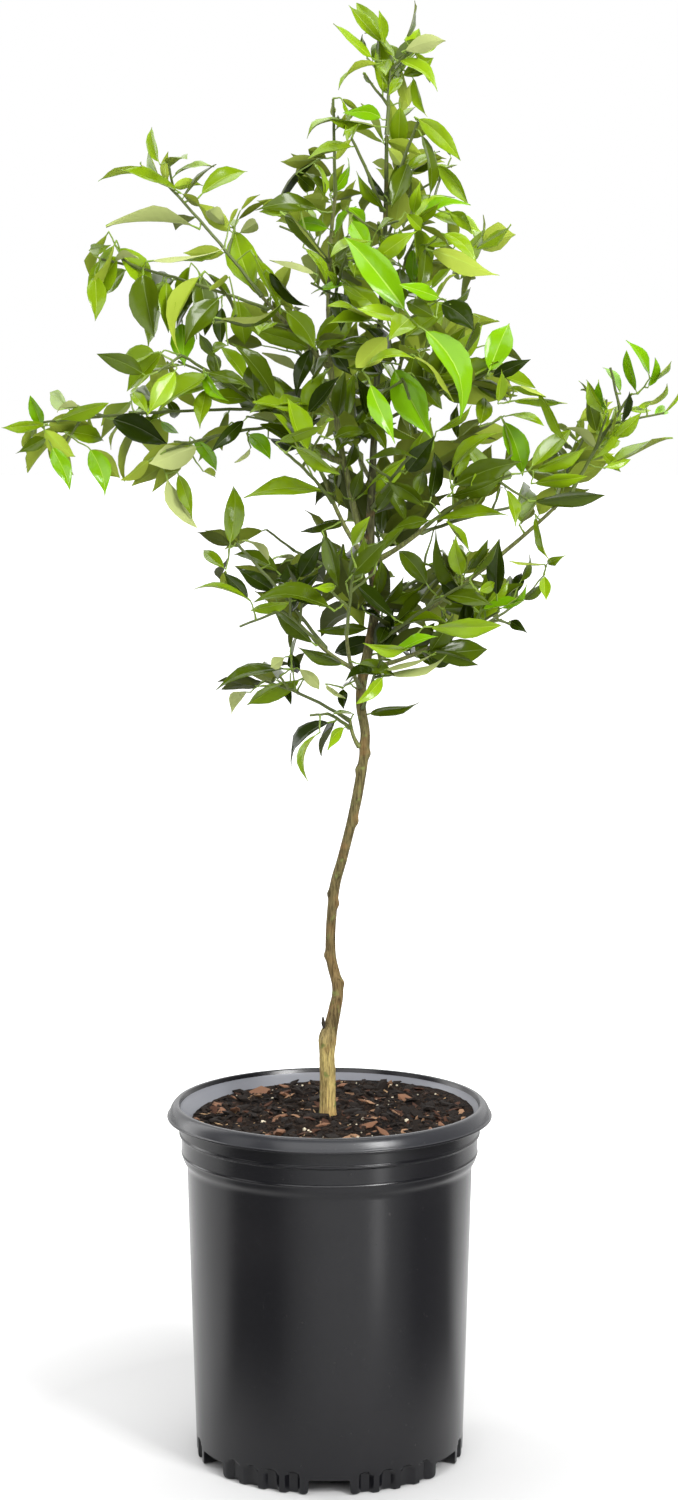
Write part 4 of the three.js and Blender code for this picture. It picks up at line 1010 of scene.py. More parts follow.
        shape = length, width, FINER.seen_arch
        return Leaf(foot, heading, side, face, *shape, twig.mass, twig.number, bow, seen.look)

    def paint_cover(self) -> None:
        """Notes for each pixel how near a leaf of the photo is there, and whether the sky is open."""
        down, across = np.mgrid[0 : VIEW.height, 0 : VIEW.width]
        reach = FINER.cover_reach
        self.cover = np.full(across.shape, np.inf)
        for leaf in self.leaves:
            for (u, v), (_, y, _) in zip(VIEW.pixels(leaf.samples).round().astype(int), leaf.samples):
                rows, columns = (slice(max(at - reach, 0), at + reach + 1) for at in (v, u))
                patch = self.cover[rows, columns]
                np.minimum(patch, y, out=patch)
        self.sky = np.zeros(across.shape, bool)
        for gap in SKY_GAPS.split(","):
            u, v, wide, tall = map(float, gap.split())
            self.sky |= ((across - u) / wide) ** 2 + ((down - v) / tall) ** 2 < 1

    def has_room(self, leaf: Leaf) -> bool:
        """Whether a grown leaf is in reach and apart, and covers neither the sky nor a leaf of the photo."""
        low, high = (np.array(corner) / METRE for corner in CAD_BOX)
        if (leaf.samples <= low - FINER.overhang).any() or (leaf.samples >= high + FINER.overhang).any():
            return False
        u, v = VIEW.pixels(leaf.samples).round().astype(int).T
        u, v = u.clip(0, VIEW.width - 1), v.clip(0, VIEW.height - 1)
        hides = self.cover[v, u]
        hides = np.isfinite(hides) & (leaf.samples[:, 1] < hides)
        if hides.mean() > FINER.cover_share or self.sky[v, u].mean() > FINER.sky_share:
            return False
        centre = leaf.outer.mean(0)
        near = [other for other in self.leaves if other.is_near(centre)]
        return self.is_apart(leaf, near, FINER.leaf_clearance)

    def fits(self, leaf: Leaf, margin: float = FINER.space_margin) -> bool:
        """Whether a finer leaf has room, and keeps near its mass by a margin."""
        return self.has_room(leaf) and self.is_clear(leaf.outer, leaf.mass, FINER.limb_clearance, margin)

    def carry_on(self) -> None:
        """Adds fine twigs with small leaves to every shoot, and spurs to the limbs inside the crown."""
        for shoot in list(self.shoots):
            mass = MASSES[shoot.mass]
            numbers = SeededNumbers(mass.seed * FINER.seed_step + len(self.shoots))
            fine = self.grow_fine_twigs(shoot, numbers)
            for twig in fine:
                self.grow_fine_leaves(twig, FINER.leaf_gap, FINER.twig_leaf, numbers)
            self.grow_fine_leaves(shoot, mass.gap * FINER.shoot_gap, FINER.shoot_leaf, numbers)
            self.shoots += fine
        for number, limb in enumerate(self.limbs.values()):
            self.grow_spurs(number, limb)

    def grow_fine_twigs(self, shoot: Shoot, numbers: SeededNumbers) -> list[Shoot]:
        """The fine twigs along a shoot that fit.

        Args:
            shoot: The shoot that carries them.
            numbers: The stream of numbers to draw from.

        Returns:
            The twigs.
        """
        twigs = []
        count = round(shoot.length / FINER.twig_gap)
        for i in range(count):
            along = between(*FINER.twig_places, (i + numbers.draw()) / count)
            tangent = shoot.curve.tangent(along)
            for attempt in range(FINER.tries):
                out = outward_from(tangent, (i + 0.5) * GOLDEN_TURN + attempt * RULE.twig_retry)
                lean = numbers.between(*FINER.twig_lean)
                heading = tangent * math.cos(lean) + out * math.sin(lean)
                heading = heading + UP * numbers.between(*FINER.twig_lift)
                length = numbers.between(*FINER.twig)
                foot = shoot.curve.point(along)
                bend = outward_from(tangent, numbers.between(*FINER.any_turn)) * FINER.twig_bend
                curve = BowedCurve(foot, foot + unit(heading) * length, bend)
                if self.is_clear(curve.points(4)[1:], shoot.mass, FINER.twig_clearance, FINER.twig_margin):
                    radii, bare = FINER.twig_radii, FINER.twig_bare
                    twigs.append(Shoot(curve, length, radii, bare, foot, shoot.mass, shoot.number))
                    break
        return twigs

    def grow_fine_leaves(self, shoot: Shoot, gap: float, scale: float, numbers: SeededNumbers) -> None:
        """Adds small leaves between those that a shoot has.

        Args:
            shoot: The shoot that carries them.
            gap: The distance between them.
            scale: Their size as a share of the mass's leaves.
            numbers: The stream of numbers to draw from.
        """
        count = max(1, round((shoot.length - shoot.bare) / gap))
        for i in range(count + 1):
            along = between(shoot.bare / shoot.length, 1, min((i + 0.5) / count, 1))
            turn = (i + 0.5) * GOLDEN_TURN + math.pi
            self.add_leaf(self.leaves, self.fits, FINER.tries, shoot, along, turn, numbers, lambda: scale)

    def grow_spurs(self, number: int, limb: Limb) -> None:
        """Grows short leafy spurs along a limb, where the photo shows it leafy.

        Args:
            number: The limb's number.
            limb: The limb.
        """
        numbers = SeededNumbers(FINER.spur_seed + number)
        count = round(limb.curve.length() / FINER.spur_gap)
        for i in range(count):
            along = (i + 0.3 + 0.5 * numbers.draw()) / count
            centre = limb.curve.point(along)
            if centre[2] < FINER.spurs_from:
                continue
            tangent = limb.curve.tangent(along)
            out = outward_from(tangent, i * GOLDEN_TURN + number)
            heading = unit(out + tangent * numbers.between(*FINER.spur_lean))
            foot = centre + out * limb.radius_at(along)
            reach = numbers.between(*FINER.spur)
            curve = BowedCurve(foot, foot + heading * reach, np.zeros(3))
            mass = self.nearest_mass(curve.tip)
            spur = Shoot(curve, reach, FINER.twig_radii, FINER.spur_bare, centre, mass)
            before = len(self.leaves)
            self.grow_spur_leaves(spur, numbers)
            if len(self.leaves) > before:
                self.shoots.append(spur)

    def nearest_mass(self, place: Array) -> int:
        """Which mass's stem a place is nearest to."""
        gaps = self.space_path.distances(place[None]).reshape(-1, self.stretches).min(1)
        return int(gaps.argmin())

    def grow_spur_leaves(self, spur: Shoot, numbers: SeededNumbers) -> None:
        """Adds two to four leaves to a spur."""

        def fits(leaf: Leaf) -> bool:
            """Whether a spur's leaf has room."""
            return self.fits(leaf, FINER.spur_margin)

        def scale() -> float:
            """Draws a leaf's size."""
            return between(*FINER.spur_leaf, numbers.draw())

        for i in range(2 + int(numbers.draw() * 3)):
            along = between(0.3, 1, (i + 0.5) / 4)
            self.add_leaf(self.leaves, fits, FINER.tries, spur, along, i * GOLDEN_TURN, numbers, scale)


# Finishes


class Tone(Enum):
    """How light a leaf is: partly how far its spray has ripened, from the palest new growth to the oldest
    leaves, and partly painted light and shade, lighter out at the top and sides of the crown and darker deep
    inside it.
    """

    YOUNG = "young"
    FRESH = "fresh"
    MIDDLE = "middle"
    DEEP = "deep"
    DARK = "dark"
    PALE = "pale"  # dealt only to leaves whose underside the photo shows


@dataclass(frozen=True)
class LeafFinish:
    """The colours of one tone of leaf, above, below and on the midrib, and its shine."""

    above: Colour
    below: Colour
    rib: Colour
    shine: float  # roughness of the upper face
    gloss: float = 0.27  # level of its shine


LEAF_FINISHES = {
    Tone.YOUNG: LeafFinish((0.155, 0.340, 0.002), (0.300, 0.400, 0.030), (0.260, 0.430, 0.020), 0.19),
    Tone.FRESH: LeafFinish((0.205, 0.330, 0.005), (0.290, 0.370, 0.035), (0.290, 0.410, 0.020), 0.22),
    Tone.MIDDLE: LeafFinish((0.150, 0.240, 0.003), (0.215, 0.275, 0.025), (0.210, 0.300, 0.014), 0.20),
    Tone.DEEP: LeafFinish((0.060, 0.096, 0.002), (0.125, 0.158, 0.013), (0.092, 0.142, 0.007), 0.17, 0.21),
    Tone.DARK: LeafFinish((0.017, 0.031, 0.001), (0.050, 0.066, 0.006), (0.034, 0.054, 0.003), 0.17, 0.15),
    Tone.PALE: LeafFinish((0.230, 0.350, 0.020), (0.370, 0.420, 0.150), (0.390, 0.450, 0.150), 0.27),
}


def rgba(colour: Colour) -> tuple[float, float, float, float]:
    """A colour with full opacity."""
    return (*colour, 1.0)


def add_node(
    tree: bpy.types.NodeTree, kind: str, inputs: dict | None = None, **settings: object
) -> bpy.types.Node:
    """Adds a shader node.

    Args:
        tree: The node tree that it joins.
        kind: Its type, without the ShaderNode in front.
        inputs: What each input holds or is linked to, by name or number.
        settings: Its own settings.

    Returns:
        The node.
    """
    node = tree.nodes.new("ShaderNode" + kind)
    for name, value in settings.items():
        setattr(node, name, value)
    for name, value in (inputs or {}).items():
        if isinstance(value, Socket):
            tree.links.new(value, node.inputs[name])
        else:
            node.inputs[name].default_value = value
    return node


class Effect:
    """A node group that more than one material uses, and its numbers at their usual values."""

    def __init__(self, name: str, outputs: Iterable[str], **inputs: float) -> None:
        """Starts the group with its sockets."""
        self.group = bpy.data.node_groups.new(name, "ShaderNodeTree")
        for socket, value in inputs.items():
            made = self.group.interface.new_socket(socket, in_out="INPUT", socket_type="NodeSocketFloat")
            made.default_value = value
        for socket in outputs:
            self.group.interface.new_socket(socket, in_out="OUTPUT", socket_type="NodeSocketFloat")
        self.given = self.group.nodes.new("NodeGroupInput").outputs
        self.out = self.group.nodes.new("NodeGroupOutput").inputs

    def add(self, kind: str, inputs: dict | None = None, **settings: object) -> Socket:
        """The first output of a new node in the group."""
        return add_node(self.group, kind, inputs, **settings).outputs[0]

    def give(self, name: str, value: Socket) -> None:
        """Links a value to one of the group's outputs."""
        self.group.links.new(value, self.out[name])

    def place(self) -> Socket:
        """The place on the object."""
        return add_node(self.group, "TexCoord").outputs["Object"]


class SharedEffects:
    """The effects that the finishes share."""

    def __init__(self) -> None:
        """Builds the groups."""
        self.mottle = self.build_mottle()
        self.fibres = self.build_fibres()
        self.veins = self.build_veins()

    @staticmethod
    def build_mottle() -> bpy.types.NodeTree:
        """Soft uneven blotches: a mask that is 0 or 1 over most of a surface, and a fine height."""
        effect = Effect("mottle", ["Mask", "Height"], Scale=40, Low=0.4, High=0.6)
        place, scale = effect.place(), effect.given["Scale"]
        blotch = effect.add("TexNoise", {"Vector": place, "Scale": scale, "Detail": 4.0})
        low, high = effect.given["Low"], effect.given["High"]
        ends = {"Value": blotch, "From Min": low, "From Max": high}
        effect.give("Mask", effect.add("MapRange", ends, clamp=True))
        finer = effect.add("Math", {0: scale, 1: 6.0}, operation="MULTIPLY")
        effect.give("Height", effect.add("TexNoise", {"Vector": place, "Scale": finer, "Detail": 3.0}))
        return effect.group

    @staticmethod
    def build_fibres() -> bpy.types.NodeTree:
        """Upright fibres and cracks of bark: a mask and a height."""
        effect = Effect("fibres", ["Mask", "Height"], Across=400, Along=40)
        across, along = effect.given["Across"], effect.given["Along"]
        scale = effect.add("CombineXYZ", {"X": across, "Y": across, "Z": along})
        drawn = effect.add("VectorMath", {0: effect.place(), 1: scale}, operation="MULTIPLY")
        fibre = effect.add("TexNoise", {"Vector": drawn, "Scale": 1.0, "Detail": 5.0, "Roughness": 0.65})
        crack = effect.add("MapRange", {"Value": fibre, "From Min": 0.36, "From Max": 0.6}, clamp=True)
        effect.give("Mask", crack)
        effect.give("Height", fibre)
        return effect.group

    @staticmethod
    def build_veins() -> bpy.types.NodeTree:
        """Side veins that run slanting from the midrib to the margin, as a height on the leaf's own map."""
        effect = Effect("veins", ["Height"], Pairs=9)
        leaf_map = effect.add("UVMap", uv_map=LEAF_MAP)
        parts = add_node(effect.group, "SeparateXYZ", {"Vector": leaf_map}).outputs
        off_rib = effect.add("Math", {0: parts["X"], 1: 0.5}, operation="SUBTRACT")
        side = effect.add("Math", {0: off_rib}, operation="ABSOLUTE")
        slant = effect.add("Math", {0: side, 1: -0.42, 2: parts["Y"]}, operation="MULTIPLY_ADD")
        turns = effect.add("Math", {0: slant, 1: effect.given["Pairs"]}, operation="MULTIPLY")
        wave = effect.add("Math", {0: turns, 1: 0.5}, operation="PINGPONG")
        ridge = {"Value": wave, "From Min": 0.0, "From Max": 0.40}
        effect.give("Height", effect.add("MapRange", ridge, clamp=True, interpolation_type="SMOOTHSTEP"))
        return effect.group


class Finish:
    """A material in the making: its Principled surface, with patterns linked to it."""

    def __init__(self, name: str, base: Colour, roughness: float, specular: float) -> None:
        """Starts the material.

        Args:
            name: Its name.
            base: Its plain colour.
            roughness: Its plain roughness.
            specular: The level of its shine.
        """
        self.material = bpy.data.materials.new(name)
        self.material.use_nodes = True
        self.tree = self.material.node_tree
        self.surface = self.tree.nodes["Principled BSDF"]
        plain = {"Base Color": rgba(base), "Roughness": roughness, "Specular IOR Level": specular}
        for socket, value in plain.items():
            self.surface.inputs[socket].default_value = value

    def add(self, kind: str, inputs: dict | None = None, **settings: object) -> bpy.types.Node:
        """Adds a node to the material."""
        return add_node(self.tree, kind, inputs, **settings)

    def effect(self, group: bpy.types.NodeTree, **values: float) -> bpy.types.Node:
        """Adds a shared effect with its own values."""
        node = self.tree.nodes.new("ShaderNodeGroup")
        node.node_tree = group
        for name, value in values.items():
            node.inputs[name].default_value = value
        return node

    def mix(
        self, share: Socket | float, first: Socket | Colour, second: Socket | Colour, blend: str = "MIX"
    ) -> Socket:
        """A colour that goes from the first to the second with a mask.

        Args:
            share: The mask.
            first: The colour where the mask is 0.
            second: The colour where it is 1.
            blend: How the second is laid on the first.

        Returns:
            The mixed colour.
        """
        first, second = (value if isinstance(value, Socket) else rgba(value) for value in (first, second))
        inputs = {0: share, 6: first, 7: second}
        return self.add("Mix", inputs, data_type="RGBA", blend_type=blend).outputs[2]

    def paint(self, colour: Socket) -> None:
        """Links a pattern to the base colour."""
        self.tree.links.new(colour, self.surface.inputs["Base Color"])

    def roughen(self, mask: Socket, low: float, high: float) -> None:
        """Spreads the roughness between two values with a mask."""
        spread = self.add("MapRange", {"Value": mask, "To Min": low, "To Max": high})
        self.tree.links.new(spread.outputs[0], self.surface.inputs["Roughness"])

    def emboss(self, pattern: bpy.types.Node, strength: float, depth: float) -> None:
        """Bumps the surface with an effect's height: how strongly, as a share, and how deep, in metres."""
        height = pattern.outputs["Height"]
        bump = self.add("Bump", {"Strength": strength, "Distance": depth, "Height": height})
        self.tree.links.new(bump.outputs[0], self.surface.inputs["Normal"])


# Shaping


def select_only(piece: Piece) -> None:
    """Selects one object and makes it the active one."""
    bpy.ops.object.select_all(action="DESELECT")
    piece.select_set(True)
    bpy.context.view_layer.objects.active = piece


def edit_all(piece: Piece, *steps: Callable[[], object]) -> None:
    """Runs edit steps on an object with all of its mesh selected before each."""
    select_only(piece)
    bpy.ops.object.mode_set(mode="EDIT")
    for step in steps:
        bpy.ops.mesh.select_all(action="SELECT")
        step()
    bpy.ops.object.mode_set(mode="OBJECT")


def turn_outwards() -> None:
    """Turns the selected faces outwards."""
    bpy.ops.mesh.normals_make_consistent(inside=False)


def tidy_normals(piece: Piece, weld: float = 1e-7) -> None:
    """Merges doubled points and turns every face outwards."""
    edit_all(piece, lambda: bpy.ops.mesh.remove_doubles(threshold=weld), turn_outwards)


def smooth(piece: Piece, degrees: float) -> None:
    """Shades smooth, but for edges sharper than an angle."""
    select_only(piece)
    bpy.ops.object.shade_smooth_by_angle(angle=math.radians(degrees))


def piece_from(
    name: str, points: Array, faces: Faces, materials: Sequence[Material] = (), edges: Sequence[Pair] = ()
) -> Piece:
    """An object from points in millimetres.

    Args:
        name: Its name.
        points: Its points, one a row.
        faces: Its faces, as numbers of points.
        materials: What it is made of.
        edges: Its loose edges, as numbers of points.

    Returns:
        The object, linked to the scene.
    """
    mesh = bpy.data.meshes.new(name)
    mesh.from_pydata((points * METRE).tolist(), edges, faces)
    for material in materials:
        mesh.materials.append(material)
    piece = bpy.data.objects.new(name, mesh)
    bpy.context.scene.collection.objects.link(piece)
    return piece


def spun(name: str, profile: Sequence[Pair], steps: int) -> Piece:
    """A closed solid turned round the pot's axis.

    Args:
        name: Its name.
        profile: Radius and height along its outline in millimetres, from axis to axis.
        steps: How many steps the turn has.

    Returns:
        The solid.
    """
    outline = np.array([(radius, 0.0, height) for radius, height in profile])
    piece = piece_from(name, outline, [], edges=[(i, i + 1) for i in range(len(outline) - 1)])
    whole = {"steps": steps, "angle": 2 * math.pi, "center": (0, 0, 0), "axis": (0, 0, 1)}
    edit_all(piece, lambda: bpy.ops.mesh.spin(**whole))
    tidy_normals(piece, 1e-6)
    return piece


def softened(outline: Sequence[Triple], steps: int = 4) -> list[Pair]:
    """An outline with its corners rounded.

    Args:
        outline: Radius, height and rounding of each corner, in millimetres.
        steps: How many stretches a rounded corner has.

    Returns:
        The rounded outline.
    """
    corners = [np.array(row[:2], float) for row in outline]
    made = [tuple(corners[0])]
    for i in range(1, len(corners) - 1):
        before, here, after = corners[i - 1], corners[i], corners[i + 1]
        rounding = min(outline[i][2], 0.48 * math.dist(before, here), 0.48 * math.dist(here, after))
        if rounding < 0.05:
            made.append(tuple(here))
            continue
        start = here + (before - here) / math.dist(before, here) * rounding
        end = here + (after - here) / math.dist(after, here) * rounding
        for share in (k / steps for k in range(steps + 1)):
            made.append(tuple(start * (1 - share) ** 2 + here * 2 * share * (1 - share) + end * share**2))
    made.append(tuple(corners[-1]))
    return made


def tube(centres: Array, radii: Array, sides: int, upright: bool = False) -> tuple[Array, Faces]:
    """A closed tube round a row of centres.

    Args:
        centres: The middle of each ring.
        radii: The radius of each ring, or one for each ring and side.
        sides: How many sides it has.
        upright: Whether the first side of every ring faces along X.

    Returns:
        Its points and its faces.
    """
    radii = np.broadcast_to(radii.reshape(len(centres), -1), (len(centres), sides))
    tangents = np.gradient(centres, axis=0)
    tangents /= np.linalg.norm(tangents, axis=1)[:, None]
    across = sideways(tangents[0])
    turns = turns_round(sides)
    rings = []
    for centre, tangent, spread in zip(centres, tangents, radii):
        across = np.array([1.0, 0, 0]) if upright else across
        across = unit(across - tangent * (across @ tangent))
        beside = cross(tangent, across)
        directions = across * np.cos(turns)[:, None] + beside * np.sin(turns)[:, None]
        rings.append(centre + directions * spread[:, None])
    faces: Faces = []
    for low in range(0, (len(centres) - 1) * sides, sides):
        for k in range(sides):
            after = (k + 1) % sides
            faces.append((low + k, low + after, low + sides + after, low + sides + k))
    faces.append(tuple(range(sides - 1, -1, -1)))
    faces.append(tuple(range((len(centres) - 1) * sides, len(centres) * sides)))
    return np.concatenate(rings), faces


class Heap:
    """Many small shapes that are gathered into one mesh."""

    def __init__(self) -> None:
        """Starts empty."""
        self.points: list[Array] = []
        self.faces: Faces = []
        self.count = 0

    def add(self, points: Array, faces: Faces) -> None:
        """Adds a shape's points, in millimetres, and faces."""
        self.points.append(points)
        self.faces += [tuple(corner + self.count for corner in face) for face in faces]
        self.count += len(points)

    def made(self, name: str, material: Material) -> Piece:
        """The one mesh that holds every shape."""
        return piece_from(name, np.concatenate(self.points), self.faces, [material])


def hand_over(piece: Piece, slot: str, *nodes: str, sharp: float) -> None:
    """Smooths a finished piece and sets it on the part's body.

    Args:
        piece: The piece.
        slot: The record's material slot; not used.
        nodes: The solids that it stands for.
        sharp: The angle past which an edge stays sharp, in degrees.
    """
    smooth(piece, sharp)
    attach(piece, BODY)
    if nodes:
        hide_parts(*nodes)
    LOG.info("%s: %d triangles", piece.name, sum(len(face.vertices) - 2 for face in piece.data.polygons))


# Crown


class LeafPattern:
    """The net of one leaf, which every leaf of the crown is a bent and turned copy of."""

    ROWS = (0.0, 0.06, 0.17, 0.32, 0.48, 0.64, 0.79, 0.91, 1.0)
    FOLD_LINE = 0.55
    COLUMNS = (-1.0, -FOLD_LINE, -0.05, 0.05, FOLD_LINE, 1.0)
    BELOW = (-0.05, 0.05)
    STALK = 0.1  # share of the leaf's length
    THICKNESS = 0.5
    SLENDER, FOLD, CURL = (0.85, 1.7), (8, 36), (-0.03, 0.20)
    TWIST, WAVE, WAVES = (-0.7, 0.7), (0.004, 0.022), 1.7
    ABOVE_SLOT, BELOW_SLOT, RIB_SLOT = range(3)

    def __init__(self) -> None:
        """Lays out the net's points and faces."""
        self.width = len(self.COLUMNS) + len(self.BELOW)
        self.along = np.repeat(self.ROWS, self.width)
        self.across = np.tile(self.COLUMNS + self.BELOW, len(self.ROWS))
        self.under = np.tile([False] * len(self.COLUMNS) + [True] * len(self.BELOW), len(self.ROWS))
        self.faces, self.slots = self.lay_faces()
        corners = np.concatenate([np.array(face) for face in self.faces])
        # Each face corner's place across and along the blade, from 0 to 1
        self.map = np.stack([0.5 + 0.5 * self.across[corners], self.along[corners]], 1)

    def lay_faces(self) -> tuple[Faces, list[int]]:
        """Lays the faces out.

        Returns:
            The faces, and for each its material's place: above, below or the midrib.
        """
        faces, slots = [], []
        last = len(self.COLUMNS) - 1
        below = (0, last + 1, last + 2, last)
        middle = len(self.COLUMNS) // 2 - 1
        for row in range(len(self.ROWS) - 1):
            low, high = row * self.width, (row + 1) * self.width
            for k in range(last):
                faces.append((low + k, low + k + 1, high + k + 1, high + k))
                slots.append(self.RIB_SLOT if k == middle else self.ABOVE_SLOT)
            for a, b in zip(below, below[1:]):
                faces.append((low + a, high + a, high + b, low + b))
                slots.append(self.RIB_SLOT if a == last + 1 else self.BELOW_SLOT)
        ring = (*range(last + 1), last + 2, last + 1)
        top = (len(self.ROWS) - 1) * self.width
        faces += [ring[::-1], tuple(top + corner for corner in ring)]
        return faces, slots + [self.RIB_SLOT] * 2

    def bent(self, leaves: Sequence[Leaf], looks: np.random.Generator) -> Array:
        """The points of every leaf.

        Args:
            leaves: The leaves.
            looks: Where their folds and waves are drawn from.

        Returns:
            For each leaf, its points in millimetres.
        """
        parts = ("base", "heading", "side", "face", "bow", "length", "width", "arch")
        base, heading, side, face, bow, length, width, arch = (
            np.array([getattr(leaf, part) for leaf in leaves])[:, None] for part in parts
        )

        def drawn(low: float, high: float) -> Array:
            """A number for each leaf."""
            return looks.uniform(low, high, (len(leaves), 1))

        slender, fold, curl = drawn(*self.SLENDER), np.radians(drawn(*self.FOLD)), drawn(*self.CURL)
        twist, wave, phase = drawn(*self.TWIST), drawn(*self.WAVE), drawn(0, 2 * np.pi)
        along, across, under = self.along[None], self.across[None], self.under[None]
        share = self.STALK + (1 - self.STALK) * along
        outline = np.sin(np.pi * np.clip(along, 0, 1) ** 0.88).clip(0, 1) ** between(0.72, slender, along)
        half = np.maximum(width / 2 * outline, between(0.8, 0.15, along))
        rib = np.minimum(between(0.62, 0.22, along) * length / 70, 0.4 * half)
        off = np.where(np.abs(across) < 0.1, np.sign(across) * rib, across * half)
        lift = -arch * length * share**2 - curl * length * np.maximum(along - 0.5, 0) ** 2 * 4
        lift = lift + (np.abs(off) - 0.5 * half) * np.tan(fold)
        lift = lift + np.where(np.abs(np.abs(across) - self.FOLD_LINE) < 0.1, 0.13 * half, 0)
        ripple = np.sin(2 * np.pi * (self.WAVES * along + 0.21 * np.sign(across)) + phase)
        lift = lift + wave * np.minimum(length, 3 * width) * ripple * (np.abs(across) > 0.9)
        body = self.THICKNESS * between(1.0, 0.5, along)
        lift = lift + np.where(under, -body - 0.35 * rib, np.where(np.abs(across) < 0.9, body * 0.5, 0))
        turn = (twist * along)[..., None]
        points = base + heading * (length * share)[..., None]
        points = points + (side * np.cos(turn) + face * np.sin(turn)) * off[..., None]
        points = points + bow * (4 * share * (1 - share))[..., None]
        return points + (face * np.cos(turn) - side * np.sin(turn)) * lift[..., None]


@dataclass
class Crown:
    """The leaves, their stalks and the twigs that carry them."""

    growth: Growth
    effects: SharedEffects
    seed: int = 5
    bend_seed: int = 6
    twig_seed: int = 700
    stalk_radii: Pair = (0.95, 0.7)
    stalk_sides: int = 4
    twig_sides: int = 6
    fine_sides: int = 5
    twig_ring: float = 9.0
    collar: float = 1.35
    twig_colour: Colour = (0.088, 0.118, 0.022)
    fine_colour: Colour = (0.170, 0.250, 0.030)
    stalk_colour: Colour = (0.200, 0.310, 0.035)
    # Where the leaves get younger and lighter: partly their age, and partly painted light out in the crown
    # and painted shade inside it.
    middle: float = 8.0  # the crown's middle in X
    reach: float = 236.0
    heights: Pair = (640, 520)  # from where, and over how much, leaves get younger
    tone_steps: tuple = ((0.25, Tone.DARK), (0.45, Tone.DEEP), (0.67, Tone.MIDDLE), (0.86, Tone.FRESH))

    def youth_and_light(self, leaf: Leaf, looks: np.random.Generator) -> float:
        """How young and how lit a leaf is: high and far out in the crown it is young and painted lighter as
        lit, and deep inside it is old and painted darker as in shade.

        Args:
            leaf: The leaf.
            looks: Where the spread is drawn from.

        Returns:
            A number that is about 0 for the oldest leaves in the deepest painted shade and 1 for the
            youngest, most lit ones.
        """
        x, y, z = leaf.base
        reach = math.hypot(x - self.middle, y * 1.3) / self.reach
        rise = (z - self.heights[0]) / self.heights[1]
        return 0.46 * reach + 0.50 * rise + 0.035 + looks.uniform(-0.14, 0.14)

    def deal_tones(self) -> dict[Tone, list[Leaf]]:
        """Deals the tones out by spray, with a little spread from leaf to leaf.

        Returns:
            The leaves of each tone.
        """
        looks = np.random.default_rng(self.seed)
        sprays: dict[int, float] = {}
        looks_as = dict(zip("yfmdkp", Tone))
        dealt: dict[Tone, list[Leaf]] = {tone: [] for tone in Tone}
        for leaf in self.growth.leaves:
            spray = sprays.setdefault(leaf.shoot, looks.uniform(-0.17, 0.17))
            youth_and_light = self.youth_and_light(leaf, looks) + spray
            tone = next((tone for limit, tone in self.tone_steps if youth_and_light < limit), Tone.YOUNG)
            # A seen leaf takes the tone of its look, which holds its painted light and shade.
            look = leaf.look[0] if leaf.look == "fp" else leaf.look[-1:]
            dealt[looks_as[look] if look else tone].append(leaf)
        return dealt

    def leaf_materials(self, tone: Tone) -> list[Material]:
        """The finishes of one tone of leaf.

        Args:
            tone: The tone.

        Returns:
            Those of the glossy upper face, the dull lower face and the midrib, in the pattern's order.
        """
        look = LEAF_FINISHES[tone]
        above = Finish(f"leaf_{tone.value}_above", look.above, look.shine, look.gloss)
        above.emboss(above.effect(self.effects.veins, Pairs=8), 0.3, 0.00006)
        below = Finish(f"leaf_{tone.value}_below", look.below, 0.6, 0.15)
        below.emboss(below.effect(self.effects.veins, Pairs=8), 0.4, 0.0001)
        rib = Finish(f"leaf_{tone.value}_rib", look.rib, 0.45, 0.4)
        return [above.material, below.material, rib.material]

    def build_leaves(self) -> None:
        """Builds one joined mesh of leaves for each tone."""
        pattern = LeafPattern()
        looks = np.random.default_rng(self.bend_seed)
        for tone, leaves in self.deal_tones().items():
            points = pattern.bent(leaves, looks)
            count, size = points.shape[:2]
            starts = range(0, count * size, size)
            faces = [tuple(start + corner for corner in face) for start in starts for face in pattern.faces]
            materials = self.leaf_materials(tone)
            piece = piece_from(f"leaves_{tone.value}", points.reshape(-1, 3), faces, materials)
            mesh = piece.data
            mesh.polygons.foreach_set("material_index", np.tile(pattern.slots, count))
            leaf_map = np.tile(pattern.map, (count, 1)).astype(np.float32)
            mesh.uv_layers.new(name=LEAF_MAP).uv.foreach_set("vector", leaf_map.ravel())
            mesh.update()
            hand_over(piece, "foliage", *sorted({MASSES[leaf.mass].name for leaf in leaves}), sharp=60)

    def build_stalks(self) -> None:
        """Builds the leaf stalks, from the middle of the shoot to the foot of the blade."""
        heap = Heap()
        shares = np.array([0.0, 0.05, 0.11])
        for leaf in self.growth.leaves:
            drop = leaf.arch * leaf.length * shares**2
            centres = leaf.base + leaf.heading * (leaf.length * shares)[:, None] - leaf.face * drop[:, None]
            centres = centres + leaf.bow * (4 * shares * (1 - shares))[:, None]
            centres = centres - leaf.face * 0.3
            radii = np.linspace(*self.stalk_radii, len(shares)) * min(1.0, leaf.length / 60)
            heap.add(*tube(centres, radii, self.stalk_sides))
        finish = Finish("leaf_stalk", self.stalk_colour, 0.5, 0.4)
        hand_over(heap.made("leaf_stalks", finish.material), "foliage", sharp=60)

    def last_leaves(self) -> dict[int, float]:
        """How far along each shoot its last leaf or twig is, past which the shoot isn't drawn."""
        held: dict[int, list[Array]] = {}
        for leaf in self.growth.leaves:
            held.setdefault(leaf.shoot, []).append(leaf.base)
        for shoot in self.growth.shoots:
            held.setdefault(shoot.parent, []).append(shoot.root)
        ends, least, steps = {}, 0.04, 24
        for shoot in self.growth.shoots:
            points = shoot.curve.points(steps)
            places = held.get(shoot.number, [])
            nearest = [np.linalg.norm(points - place, axis=1).argmin() / steps for place in places]
            ends[shoot.number] = max([*nearest, least])
        return ends

